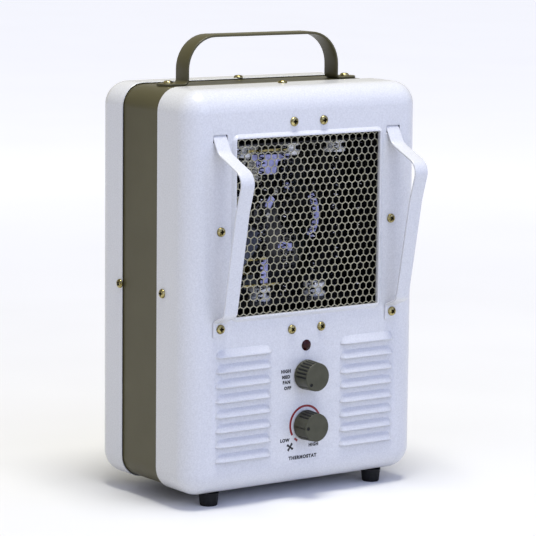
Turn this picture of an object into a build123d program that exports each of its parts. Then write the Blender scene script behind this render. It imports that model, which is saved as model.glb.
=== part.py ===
from build123d import *
from math import cos, radians, sin
import os

# Portable fan-forced heater. Millimetres, +X right, +Y back, +Z up.
# Depths ("near", "far") are measured backwards from the flat front panel.

# casing
casing_width = 250.0
casing_height = 352.7
casing_depth = 147.5
corner_radius = 21.0
edge_radius = 19.5
sheet = 1.2
skirt_front = 49.3
skirt_rear = 42.3
band_overlap = 15.0
band_gap = 0.3
foot_height = 11.5
foot_front_x = 89.0
foot_rear_x = 56.0
foot_inset = 20.0
foot_top_radius = 9.0
foot_base_radius = 7.7
guard_reach = 42.0
gland_reach = 6.0

# front panel
window = 154.0
window_z = 244.5
lip_width = 4.5
lip_height = 2.6
mode_z = 110.2
thermostat_z = 65.1
pilot_z = 136.3
louvre_inner = 37.2
louvre_outer = 96.4
louvre_top = 133.5
louvre_pitch = 13.13
louvre_rise = 7.4
louvre_reach = 3.2
louvre_count = 8

# fasteners
screw_radius = 1.9
screw_head = 4.15
screw_head_height = 2.3
screw_length = 8.0
grille_screw_x = 15.9
grille_screw_top = 334.1
grille_screw_bottom = 151.8
ear_screw_x = 91.8
ear_screw_z = 242.8
shell_screw_z = 187.0
front_screw_depth = 40.0
rear_screw_depth = 108.2

# handle and guards
handle_half = 82.0
handle_top = 406.4
handle_width = 19.0
handle_strap = 2.2
handle_depth = 77.2
handle_tab = 106.0
handle_screw_x = 96.0
guard_x = 93.0
guard_width = 14.0
guard_strap = 2.0
guard_screw_z = 158.9
guard_slot_z = 324.3
guard_slot_height = 7.0

# controls
knob_base = 13.4
knob_face = 12.6
knob_length = 17.0
knob_taper = 2.7
knob_stand_off = 0.8
knob_flutes = 24
shaft_radius = 3.0
bush_radius = 4.8
running_gap = 0.05

# outlet and inside
grille_sheet = 1.2
grille_pitch = 14.0
shelf_z = 146.5
shroud_depth = 58.0
coil_radius = 3.2
coil_columns = (-66.0, -40.0, -15.0, 15.0, 40.0, 66.0)
coil_depths = (14.0, 46.0)
duct_half = 83.0
duct_sheet = 0.8
rail_rise = 70.0

# fan and motor
fan_radius = 66.0
fan_axle = 2.5
fan_blades = 5
blade_pitch = 32.0
throat = 70.0
motor_near = 98.0
motor_rear = 124.0
guard_wire = 1.2
guard_rings = (16.0, 31.0, 46.0, 61.0)
guard_rim = 76.0

# back
inlet_radius = 72.0
slit_count = 5
slit_pitch = 12.0
slit_length = 90.0
slit_width = 4.0
slit_x = -30.0
slit_z = 45.0

# cord inlet
gland_x = 78.0
gland_z = 40.0
gland_bore = 4.0

# tip-over switch
pendulum_pin = 1.5

# worked out
casing_bottom = foot_height
casing_top = foot_height + casing_height
casing_mid = foot_height + casing_height / 2
front_y = (guard_reach - casing_depth - gland_reach) / 2
band_near = skirt_front - band_overlap
band_far = casing_depth - skirt_rear + band_overlap
band_inset = sheet + band_gap
band_top = casing_top - band_inset
grille_rows = (grille_screw_top, grille_screw_bottom)
grille_screws = [(side * grille_screw_x, z) for side in (-1, 1) for z in grille_rows]
grille_screws += [(-ear_screw_x, ear_screw_z), (ear_screw_x, ear_screw_z)]
guard_screws = [(-guard_x, guard_screw_z), (guard_x, guard_screw_z)]
foot_places = [(side * foot_front_x, foot_inset) for side in (-1, 1)]
foot_places += [(side * foot_rear_x, casing_depth - foot_inset) for side in (-1, 1)]


def front_plane(depth):
    # the front view: sketch x is right, sketch y is up, normal towards the user
    return Plane((0, front_y + depth, 0), x_dir=(1, 0, 0), z_dir=(0, -1, 0))


def slab(sketch, near, far):
    return extrude(front_plane(far) * sketch, far - near)


def rod(x, z, radius, near, far):
    return slab(Pos(x, z) * Circle(radius), near, far)


def pipe(x, z, outer, inner, near, far):
    return slab(Pos(x, z) * (Circle(outer) - Circle(inner)), near, far)


def block(low, high):
    # a box from low to high, each (x, depth, z)
    size = [b - a for a, b in zip(low, high)]
    middle = [(a + b) / 2 for a, b in zip(low, high)]
    return Pos(middle[0], front_y + middle[1], middle[2]) * Box(*size)


def drawn_pan(near, far, closed_end, inset):
    # a rounded box whose closed face is the front (0) or the back (-1)
    outline = RectangleRounded(casing_width - 2 * inset, casing_height - 2 * inset, corner_radius - inset)
    solid = slab(Pos(0, casing_mid) * outline, near, far)
    rim = solid.faces().sort_by(Axis.Y)[closed_end].edges()
    return fillet(rim, edge_radius - inset)


def pan_screw(place):
    # pan head above the plane, cross recess in it, shank below
    head = extrude(Circle(screw_head), screw_head_height)
    head = fillet(head.edges().sort_by(Axis.Z)[-1], 1.3)
    shank = extrude(Circle(screw_radius), -screw_length)
    recess = Box(4.6, 1.1, 2.6) + Box(1.1, 4.6, 2.6)
    return place * (head + shank - Pos(0, 0, screw_head_height) * recess)


def shell_screw_places():
    places = []
    for depth in (front_screw_depth, rear_screw_depth):
        y = front_y + depth
        places.append(Plane((-casing_width / 2, y, shell_screw_z), x_dir=(0, 1, 0), z_dir=(-1, 0, 0)))
        places.append(Plane((casing_width / 2, y, shell_screw_z), x_dir=(0, 1, 0), z_dir=(1, 0, 0)))
        places.append(Plane((0, y, casing_top), x_dir=(1, 0, 0), z_dir=(0, 0, 1)))
    return places


def shell_screw_holes():
    hole = Pos(0, 0, -4) * Cylinder(screw_radius + 0.1, 12)
    return [place * hole for place in shell_screw_places()]


def foot_screw_holes():
    hole = Cylinder(screw_radius + 0.1, 12)
    return [Pos(x, front_y + depth, casing_bottom) * hole for x, depth in foot_places]


def louvre(x, z_low, inset):
    # a hood that opens downwards, its inside cut through the panel
    tip = -louvre_reach + inset
    base = sheet + 1 if inset else 0.5
    top = z_low + louvre_rise - 1.6 * inset
    points = [(front_y + base, z_low), (front_y + tip, z_low), (front_y + tip + 0.6, z_low + 1.5)]
    points += [(front_y, top), (front_y + base, top)]
    length = louvre_outer - louvre_inner - 2 * inset
    profile = Plane.YZ.offset(x - length / 2) * make_face(Polyline(*points, close=True))
    return extrude(profile, length)


def louvre_places():
    middle = (louvre_inner + louvre_outer) / 2
    heights = [louvre_top - row * louvre_pitch for row in range(louvre_count)]
    return [(side * middle, z) for side in (-1, 1) for z in heights]


def front_shell():
    shell = drawn_pan(0, skirt_front, 0, 0) - drawn_pan(sheet, skirt_front + 1, 0, sheet)
    lip_size = window + 2 * lip_width
    lip = front_plane(0.5) * Pos(0, window_z) * RectangleRounded(lip_size, lip_size, 6)
    shell += extrude(lip, lip_height + 0.5, taper=30)
    shell += [louvre(x, z, 0) for x, z in louvre_places()]
    cuts = [louvre(x, z, 1.0) for x, z in louvre_places()]
    cuts.append(slab(Pos(0, window_z) * Rectangle(window, window), -10, 10))
    cuts += [rod(x, z, screw_radius + 0.1, -1, 3) for x, z in grille_screws + guard_screws]
    cuts += [rod(0, z, bush_radius + 0.1, -1, 3) for z in (mode_z, thermostat_z)]
    cuts.append(rod(0, pilot_z, 4.0, -1, 3))
    slot = Rectangle(guard_width + 0.6, guard_slot_height)
    cuts += [slab(Pos(side * guard_x, guard_slot_z) * slot, -1, 3) for side in (-1, 1)]
    return shell - cuts - shell_screw_holes() - foot_screw_holes()


def rear_shell():
    near = casing_depth - skirt_rear
    shell = drawn_pan(near, casing_depth, -1, 0) - drawn_pan(near - 1, casing_depth - sheet, -1, sheet)
    cuts = [rod(0, window_z, inlet_radius, casing_depth - 5, casing_depth + 1)]
    cuts.append(rod(gland_x, gland_z, 8.1, casing_depth - 5, casing_depth + 1))
    for row in range(slit_count):
        slit = Pos(slit_x, slit_z + slit_pitch * row) * SlotOverall(slit_length, slit_width)
        cuts.append(slab(slit, casing_depth - 5, casing_depth + 1))
    return shell - cuts - shell_screw_holes() - foot_screw_holes()


def centre_band():
    def tube(inset, spare):
        width = casing_width - 2 * inset
        height = casing_height - 2 * inset
        outline = RectangleRounded(width, height, corner_radius - inset)
        return slab(Pos(0, casing_mid) * outline, band_near - spare, band_far + spare)
    band = tube(band_inset, 0) - tube(band_inset + sheet, 1)
    holes = [place * Cylinder(screw_radius + 0.1, 12) for place in handle_screw_places()]
    return band - holes - shell_screw_holes() - foot_screw_holes()


def strap(points, radii, thickness):
    # the edge view of a flat strap that is bent at its inner points
    return trace(FilletPolyline(*points, radius=radii), thickness)


def handle_screw_places():
    y = front_y + handle_depth
    z = band_top + handle_strap
    return [Plane((side * handle_screw_x, y, z), z_dir=(0, 0, 1)) for side in (-1, 1)]


def carry_handle():
    leg = handle_half - handle_strap / 2
    low = band_top + handle_strap / 2
    top = handle_top - handle_strap / 2
    points = [(-handle_tab, low), (-leg, low), (-leg, top)]
    points += [(leg, top), (leg, low), (handle_tab, low)]
    edge_view = strap(points, [3.5, 29.0, 29.0, 3.5], handle_strap)
    handle = slab(edge_view, handle_depth - handle_width / 2, handle_depth + handle_width / 2)
    ends = handle.edges().filter_by(Axis.Z).group_by(Axis.X)
    handle = fillet(ends[0] + ends[-1], handle_width / 2 - 0.1)
    return handle - [place * Cylinder(screw_radius + 0.1, 12) for place in handle_screw_places()]


def guard_bar(side):
    # y is depth, z is height: tab behind the panel, through the slot, out to the knee,
    # down past the window, flange on the panel
    half = guard_strap / 2
    inside = sheet + half + 0.2
    out = -guard_reach
    points = [(inside, guard_slot_z + 10.7), (inside, guard_slot_z + 3.2), (-6.7, guard_slot_z - 13.2)]
    points += [(out - 1.52, guard_slot_z - 30.58), (out + 8.2, guard_slot_z - 62.3)]
    points += [(-16.6, guard_screw_z + 12.6), (-half, guard_screw_z + 6.2), (-half, guard_screw_z - 7.0)]
    moved = [(front_y + depth, z) for depth, z in points]
    edge_view = strap(moved, [2.0, 12.0, 12.0, 30.0, 7.0, 2.0], guard_strap)
    bar = extrude(Plane.YZ.offset(side * guard_x - guard_width / 2) * edge_view, guard_width)
    return bar - rod(side * guard_x, guard_screw_z, screw_radius + 0.1, -5, 2)


def outlet_grille():
    # a flat sheet behind the window, its hexagons in staggered rows, with an ear at each side
    sheet_near = sheet
    outline = Rectangle(168, 190) + Pos(0, ear_screw_z - window_z) * Rectangle(198, 17)
    plate = slab(Pos(0, window_z) * outline, sheet_near, sheet_near + grille_sheet)
    hexagon = RegularPolygon(grille_pitch / 2 - 0.8, 6, major_radius=False, rotation=30)
    columns = int(window / grille_pitch) - 1
    row_rise = grille_pitch * 0.866
    rows = int(window / row_rise)
    cells = []
    for row in range(rows):
        shift = grille_pitch / 2 if row % 2 else 0
        for column in range(columns + 1 - row % 2):
            x = (column - columns / 2) * grille_pitch + shift
            z = window_z + (row - (rows - 1) / 2) * row_rise
            cells.append(Pos(x, z) * hexagon)
    plate -= slab(Sketch() + cells, 0, 4)
    return plate - [rod(x, z, screw_radius + 0.1, 0, 4) for x, z in grille_screws]


def element_duct():
    # four-sided duct that carries the air from the fan to the window
    outer = 2 * duct_half
    inner = outer - 2 * duct_sheet
    outline = Rectangle(outer, outer) - Rectangle(inner, inner)
    return slab(Pos(0, window_z) * outline, sheet + grille_sheet + 0.1, shroud_depth - 0.1)


def element_frame():
    # two channels across the duct, with a tie rod at each side
    top = window_z + rail_rise
    bottom = window_z - rail_rise
    half = duct_half - 1
    rails = block((-half, 8, top), (half, 52, top + sheet))
    rails += block((-half, 8, bottom - sheet), (half, 52, bottom))
    for side in (-1, 1):
        rails += block((side * 80 - 1, 20, bottom), (side * 80 + 1, 40, top))
    return rails


def insulator_places():
    places = [(x, window_z + rail_rise, -1) for x in (-50.0, 0.0, 50.0)]
    places += [(x, window_z - rail_rise, 1) for x in (-30.0, 30.0)]
    return places


def ceramic_insulators():
    # a flanged spool under each rail: collar, waist, collar
    spools = []
    for x, z, way in insulator_places():
        spool = Cylinder(10, 4) + Pos(0, 0, 4) * Cylinder(6.5, 4) + Pos(0, 0, 8) * Cylinder(10, 4)
        spools.append(Pos(x, front_y + 30, z + way * (2 if way > 0 else 10)) * spool)
    return Compound(spools)


def heating_coils():
    # upright coils between the rails, each drawn as a rod of the coil's outer size
    rods = []
    for depth in coil_depths:
        for x in coil_columns:
            rods.append(Pos(x, front_y + depth, window_z) * Cylinder(coil_radius, 2 * rail_rise - 0.4))
    return Compound(rods)


def fan_shroud():
    # plate across the band with a round throat and its collar
    outline = Pos(0, (shelf_z + band_top) / 2) * RectangleRounded(241, band_top - shelf_z - 4, 20)
    plate = slab(outline, shroud_depth, shroud_depth + sheet)
    collar = pipe(0, window_z, throat + sheet, throat, shroud_depth + sheet, shroud_depth + 24)
    return plate - rod(0, window_z, throat, shroud_depth - 1, shroud_depth + 3) + collar


def control_shelf():
    # level sheet that keeps the warm air away from the controls
    wide = block((-120, 12, shelf_z - sheet), (120, 118, shelf_z))
    return wide + block((-102, sheet + 0.1, shelf_z - sheet), (102, 12, shelf_z))


def thermal_cutout():
    # round snap-disc protector on top of the duct, with two flat terminals
    disc = Pos(40, front_y + 28, window_z + duct_half + 4) * Cylinder(8, 8)
    tab = Pos(40, front_y + 28, window_z + duct_half + 12) * Box(14, 0.8, 8)
    return disc + tab


def fan_blade():
    # a hub on the axle and five pitched blades inside the throat
    middle = shroud_depth + 13
    hub = pipe(0, window_z, 15, fan_axle, middle - 8, middle + 8)
    blade = Pos(fan_radius / 2, 0, 0) * Rot(blade_pitch, 0, 0) * Box(fan_radius, 1.2, 44)
    blades = [Rot(0, 360 / fan_blades * number, 0) * blade for number in range(fan_blades)]
    ring = Rot(90, 0, 0) * (Cylinder(fan_radius, 30) - Cylinder(12, 32))
    wheel = Pos(0, front_y + middle, window_z) * (ring & (Part() + blades))
    return hub + wheel


def motor_shaft():
    return rod(0, window_z, fan_axle, shroud_depth + 2, motor_rear + 6)


def motor_rotor():
    return pipe(0, window_z, 12.5, fan_axle, motor_near + 1, motor_near + 17)


def motor_stator():
    # laminated frame with the rotor's bore and a window round the lower limb
    outline = Pos(0, -15) * RectangleRounded(58, 76, 4) - Circle(13.0) - Pos(0, -29) * Rectangle(30, 18)
    return slab(Pos(0, window_z) * outline, motor_near, motor_near + 18)


def motor_coil():
    # winding round the lower limb
    outer = block((-14.5, motor_near - 5, window_z - 58), (14.5, motor_near + 23, window_z - 21))
    limb = block((-16, motor_near - 0.2, window_z - 53.2), (16, motor_near + 18.2, window_z - 37.8))
    gap = block((-16, motor_near - 0.2, window_z - 37.8), (16, motor_near + 18.2, window_z - 37))
    return outer - limb - gap


def motor_bearings():
    # a plain bush at each end of the shaft
    front = pipe(0, window_z, 5.5, fan_axle + running_gap, motor_near - 9, motor_near - 1.5)
    rear = pipe(0, window_z, 5.5, fan_axle + running_gap, motor_near + 19.5, motor_rear + 3)
    return Compound([front, rear])


def motor_bracket():
    # two cross straps that hold the bushes, joined by a leg at each side to the throat plate
    straps = slab(Pos(0, window_z) * (Rectangle(164, 16) - Circle(5.6)), motor_rear, motor_rear + 1.6)
    yoke = slab(Pos(0, window_z) * (Rectangle(70, 14) - Circle(5.6)), motor_near - 4, motor_near - 2.4)
    straps += yoke
    back = motor_rear + 1.6
    for x in (-34.2, 34.2):
        straps += block((x - 0.8, motor_near - 4, window_z - 7), (x + 0.8, back, window_z + 7))
    for x in (-81.2, 81.2):
        straps += block((x - 0.8, shroud_depth + sheet, window_z - 8), (x + 0.8, back, window_z + 8))
    return straps


def rear_guard():
    # wire rings and spokes behind the air inlet
    depth = casing_depth - sheet - guard_wire
    wires = Torus(guard_rim, guard_wire)
    for radius in guard_rings:
        wires += Torus(radius, guard_wire)
    for number in range(4):
        wires += Rot(0, 0, 45 * number) * Rot(0, 90, 0) * Cylinder(guard_wire, 2 * guard_rim)
    return front_plane(depth) * Pos(0, window_z, 0) * wires


def knob():
    # fluted knob with a nut recess in its back; the smooth side and the dimple are the pointer
    grip = extrude(Circle(knob_base), knob_length, taper=knob_taper)
    grip = fillet(grip.edges().sort_by(Axis.Z)[-1], 1.2)
    flute = Pos(knob_base + 0.5, 0, knob_length / 2) * Rot(0, -knob_taper, 0) * Cylinder(1.1, 40)
    for number in range(2, knob_flutes - 1):
        grip -= Rot(0, 0, 360 / knob_flutes * number) * flute
    grip -= extrude(Circle(10.2), 4.4)
    grip -= extrude(Circle(shaft_radius + 0.02), knob_length - 3)
    grip -= Pos(knob_face - 3.2, 0, knob_length) * Cylinder(1.3, 1.2)
    return grip


def place_knob(z, angle):
    # the pointer's angle is counted clockwise from nine o'clock, as seen by the user
    turn = radians(180 - angle)
    place = Plane((0, front_y - knob_stand_off, z), x_dir=(cos(turn), 0, sin(turn)), z_dir=(0, -1, 0))
    return place * knob()


def control_shaft(z, far):
    return rod(0, z, shaft_radius, -knob_length + 3.5, far)


def control_nut(z):
    nut = RegularPolygon(6.5, 6, major_radius=False) - Circle(bush_radius)
    return slab(Pos(0, z) * nut, -2.4, 0)


def control_body(z, width, height, far):
    # case behind the panel with a bush that comes through it, and blade terminals at its back
    body = slab(Pos(0, z) * RectangleRounded(width, height, 2), sheet, far)
    body += rod(0, z, bush_radius, -3.0, sheet)
    body -= rod(0, z, shaft_radius + running_gap, -4, far - 2)
    for x in (-8.0, 0.0, 8.0):
        body += slab(Pos(x, z) * Rectangle(4.8, 0.8), far, far + 7)
    return body


def pilot_lens():
    lens = rod(0, pilot_z, 3.9, 0, sheet + 3) + rod(0, pilot_z, 4.7, -1.6, 0)
    return fillet(lens.edges().filter_by(GeomType.CIRCLE).sort_by(Axis.Y)[0], 1.2)


def pilot_lamp():
    body = rod(0, pilot_z, 3.9, sheet + 3, sheet + 18)
    return body + block((-3, 18, pilot_z - 0.4), (3, 27, pilot_z + 0.4))


def terminal_block():
    body = block((-100, 60, casing_bottom + 2.8), (-50, 84, casing_bottom + 22))
    for x in (-92.0, -75.0, -58.0):
        body -= Pos(x, front_y + 72, casing_bottom + 20) * Cylinder(3.5, 8)
    return body


def tip_switch_case():
    # open-fronted case on the casing's floor; the pendulum hangs on its pin
    low = casing_bottom + 2.8
    case = block((46, 76, low), (74, 100, low + 40)) - block((48, 75, low + 2), (72, 98, low + 38))
    return case + rod(60, low + 32, pendulum_pin, 76, 98.5)


def tip_pendulum():
    low = casing_bottom + 2.8
    eye = pipe(60, low + 32, 4.0, pendulum_pin + running_gap, 83, 91)
    arm = block((59, 84.5, low + 14), (61, 89.5, low + 28.3))
    bob = rod(60, low + 12, 5.5, 82, 92)
    return eye + arm + bob


def cord_gland():
    # round bush in the rear wall, with a flange outside and a collar inside
    wall = casing_depth - sheet
    bush = rod(gland_x, gland_z, 8.0, wall - 4, casing_depth)
    bush += rod(gland_x, gland_z, 10.5, casing_depth, casing_depth + 2)
    bush += rod(gland_x, gland_z, 7.0, casing_depth + 2, casing_depth + gland_reach)
    bush += rod(gland_x, gland_z, 9.5, wall - 4, wall)
    return bush - rod(gland_x, gland_z, gland_bore, wall - 5, casing_depth + gland_reach + 1)


def lead(x_start, z_end, depth_end):
    # from the terminal block up, across and forward to a blade terminal
    back = front_y + 72
    points = [(x_start, back, casing_bottom + 22), (x_start, back, z_end), (-8, back, z_end)]
    points.append((-8, front_y + depth_end, z_end))
    path = FilletPolyline(*points, radius=10)
    return sweep(Plane(points[0], z_dir=(0, 0, 1)) * Circle(1.2), path)


def internal_leads():
    return Compound([lead(-92, mode_z, 29.0), lead(-66, thermostat_z, 27.0)])


def feet():
    def foot(x, depth):
        upwards = (Align.CENTER, Align.CENTER, Align.MIN)
        body = Cone(foot_base_radius, foot_top_radius, foot_height, align=upwards)
        body -= Cylinder(4.4, 5, align=upwards) + Cylinder(screw_radius, 40)
        return Pos(x, front_y + depth, 0) * body
    return Compound([foot(x, depth) for x, depth in foot_places])


def foot_screws():
    seats = [Plane((x, front_y + depth, 5.0), z_dir=(0, 0, -1)) for x, depth in foot_places]
    return Compound([pan_screw(seat) for seat in seats])


def panel_screws(places, seat):
    return Compound([pan_screw(front_plane(seat) * Pos(x, z)) for x, z in places])


parts = {
    "front_shell": front_shell(),
    "rear_shell": rear_shell(),
    "centre_band": centre_band(),
    "carry_handle": carry_handle(),
    "handle_screws": Compound([pan_screw(place) for place in handle_screw_places()]),
    "guard_bar_left": guard_bar(-1),
    "guard_bar_right": guard_bar(1),
    "guard_screws": panel_screws(guard_screws, -guard_strap),
    "grille_screws": panel_screws(grille_screws, 0),
    "shell_screws": Compound([pan_screw(place) for place in shell_screw_places()]),
    "outlet_grille": outlet_grille(),
    "element_duct": element_duct(),
    "element_frame": element_frame(),
    "ceramic_insulators": ceramic_insulators(),
    "heating_coils": heating_coils(),
    "thermal_cutout": thermal_cutout(),
    "fan_shroud": fan_shroud(),
    "control_shelf": control_shelf(),
    "fan_blade": fan_blade(),
    "motor_shaft": motor_shaft(),
    "motor_rotor": motor_rotor(),
    "motor_stator": motor_stator(),
    "motor_coil": motor_coil(),
    "motor_bearings": motor_bearings(),
    "motor_bracket": motor_bracket(),
    "rear_guard": rear_guard(),
    "mode_knob": place_knob(mode_z, -45),
    "mode_switch_shaft": control_shaft(mode_z, 16),
    "mode_switch_body": control_body(mode_z, 28, 26, 22),
    "mode_switch_nut": control_nut(mode_z),
    "thermostat_knob": place_knob(thermostat_z, 0),
    "thermostat_shaft": control_shaft(thermostat_z, 14),
    "thermostat_body": control_body(thermostat_z, 34, 30, 20),
    "thermostat_nut": control_nut(thermostat_z),
    "pilot_lens": pilot_lens(),
    "pilot_lamp": pilot_lamp(),
    "terminal_block": terminal_block(),
    "tip_switch_case": tip_switch_case(),
    "tip_pendulum": tip_pendulum(),
    "internal_leads": internal_leads(),
    "cord_gland": cord_gland(),
    "feet": feet(),
    "foot_screws": foot_screws(),
}

os.makedirs("parts", exist_ok=True)
for name, shape in parts.items():
    export_step(shape, f"parts/{name}.step")
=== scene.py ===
import bpy
import bmesh
import math
from mathutils import Matrix, Vector


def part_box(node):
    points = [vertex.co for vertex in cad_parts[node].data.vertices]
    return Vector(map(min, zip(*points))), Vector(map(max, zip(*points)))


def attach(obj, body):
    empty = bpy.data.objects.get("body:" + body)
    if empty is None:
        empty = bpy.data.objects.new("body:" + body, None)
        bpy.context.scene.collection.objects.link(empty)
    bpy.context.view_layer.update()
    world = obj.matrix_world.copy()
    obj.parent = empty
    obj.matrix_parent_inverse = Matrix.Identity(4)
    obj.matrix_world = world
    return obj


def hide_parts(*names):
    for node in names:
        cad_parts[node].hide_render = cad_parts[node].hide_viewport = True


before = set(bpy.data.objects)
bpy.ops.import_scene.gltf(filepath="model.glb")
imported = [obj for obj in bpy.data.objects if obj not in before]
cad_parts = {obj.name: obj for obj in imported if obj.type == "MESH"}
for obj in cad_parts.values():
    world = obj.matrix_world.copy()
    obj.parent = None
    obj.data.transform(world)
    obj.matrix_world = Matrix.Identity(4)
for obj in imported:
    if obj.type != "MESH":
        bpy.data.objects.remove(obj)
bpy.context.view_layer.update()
mm = 0.001

# the casing, measured from its CAD nodes; depths run backwards from the front panel
shellLow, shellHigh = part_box("front_shell")
rearLow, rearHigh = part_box("rear_shell")
bandLow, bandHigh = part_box("centre_band")
casing = {
    "width": (shellHigh[0] - shellLow[0]) / mm,
    "bottom": shellLow[2] / mm,
    "top": shellHigh[2] / mm,
    "corner": 21.0,
    "edge": 19.5,
}
casing["height"] = casing["top"] - casing["bottom"]
casing["middle"] = (casing["top"] + casing["bottom"]) / 2
grilleLow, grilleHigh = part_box("outlet_grille")
grilleSetBack = 1.2
panelY = grilleLow[1] - grilleSetBack * mm
skirtFront = (shellHigh[1] - panelY) / mm
skirtRear = (rearLow[1] - panelY) / mm
backDepth = (rearHigh[1] - panelY) / mm
print("frame loaded", len(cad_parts), "nodes")


def at(x, depth, z):
    return Vector((x * mm, panelY + depth * mm, z * mm))


def addNode(tree, kind, values=None, **settings):
    node = tree.nodes.new(kind)
    for name, value in settings.items():
        setattr(node, name, value)
    for key, value in (values or {}).items():
        node.inputs[key].default_value = value
    return node


def join(tree, source, target):
    tree.links.new(source, target)


def newMaterial(name):
    material = bpy.data.materials.new(name)
    material.use_nodes = True
    tree = material.node_tree
    tree.nodes.clear()
    shader = addNode(tree, "ShaderNodeBsdfPrincipled")
    output = addNode(tree, "ShaderNodeOutputMaterial")
    join(tree, shader.outputs[0], output.inputs[0])
    return material, tree, shader


def objectCoords(tree, scale=(1, 1, 1)):
    coords = addNode(tree, "ShaderNodeTexCoord")
    mapping = addNode(tree, "ShaderNodeMapping", {"Scale": scale})
    join(tree, coords.outputs["Object"], mapping.inputs["Vector"])
    return mapping.outputs[0]


def noiseOn(tree, vector, scale, detail=2.0, roughness=0.5):
    noise = addNode(tree, "ShaderNodeTexNoise", {"Scale": scale, "Detail": detail, "Roughness": roughness})
    join(tree, vector, noise.inputs["Vector"])
    return noise.outputs[0]


def rangeOf(tree, source, low, high, fromLow=0.3, fromHigh=0.7):
    span = addNode(tree, "ShaderNodeMapRange")
    for key, value in (("From Min", fromLow), ("From Max", fromHigh), ("To Min", low), ("To Max", high)):
        span.inputs[key].default_value = value
    join(tree, source, span.inputs["Value"])
    return span.outputs[0]


def blendColours(tree, factor, first, second):
    mix = addNode(tree, "ShaderNodeMix", data_type="RGBA")
    mix.inputs[6].default_value = (*first, 1)
    mix.inputs[7].default_value = (*second, 1)
    join(tree, factor, mix.inputs[0])
    return mix.outputs[2]


def bumpFrom(tree, height, strength, distance, after=None):
    bump = addNode(tree, "ShaderNodeBump", {"Strength": strength, "Distance": distance * mm})
    join(tree, height, bump.inputs["Height"])
    if after is not None:
        join(tree, after, bump.inputs["Normal"])
    return bump.outputs[0]


finishes = {}


def grainedFinish(name, look):
    # a finish with two tones, uneven gloss and a fine surface texture; marked vertices take painted shade
    material, tree, shader = newMaterial(name)
    vector = objectCoords(tree, look.get("stretch", (1, 1, 1)))
    cloud = noiseOn(tree, vector, look["cloudScale"], 3.0)
    grain = noiseOn(tree, vector, look["grainScale"], 4.0, 0.6)
    share = rangeOf(tree, cloud, 0, 1, *look.get("split", (0.3, 0.7)))
    join(tree, blendColours(tree, share, look["dark"], look["light"]), shader.inputs["Base Color"])
    join(tree, rangeOf(tree, grain, *look["gloss"]), shader.inputs["Roughness"])
    normal = bumpFrom(tree, grain, look["bump"], look["bumpDepth"])
    if "peelScale" in look:
        peel = noiseOn(tree, vector, look["peelScale"], 1.0, 0.4)
        normal = bumpFrom(tree, peel, look["peel"], look["peelDepth"], normal)
    join(tree, normal, shader.inputs["Normal"])
    # painted shade: the base colour is darkened towards a near-black tone wherever a piece marks its
    # vertices, standing in for shade in recesses and grooves
    if "paintedShadeTone" in look:
        paintedShade = addNode(tree, "ShaderNodeAttribute", attribute_name="paintedShade", attribute_type="GEOMETRY")
        unshaded = shader.inputs["Base Color"].links[0].from_socket
        tone = blendColours(tree, paintedShade.outputs["Fac"], look["paintedShadeTone"], look["paintedShadeTone"])
        join(tree, unshaded, tone.node.inputs[6])
        join(tree, tone, shader.inputs["Base Color"])
    shader.inputs["Metallic"].default_value = look.get("metal", 0.0)
    shader.inputs["Coat Weight"].default_value = look.get("coat", 0.0)
    shader.inputs["Coat Roughness"].default_value = look.get("coatGloss", 0.1)
    shader.inputs["IOR"].default_value = look.get("ior", 1.5)
    finishes[name] = material


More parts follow.
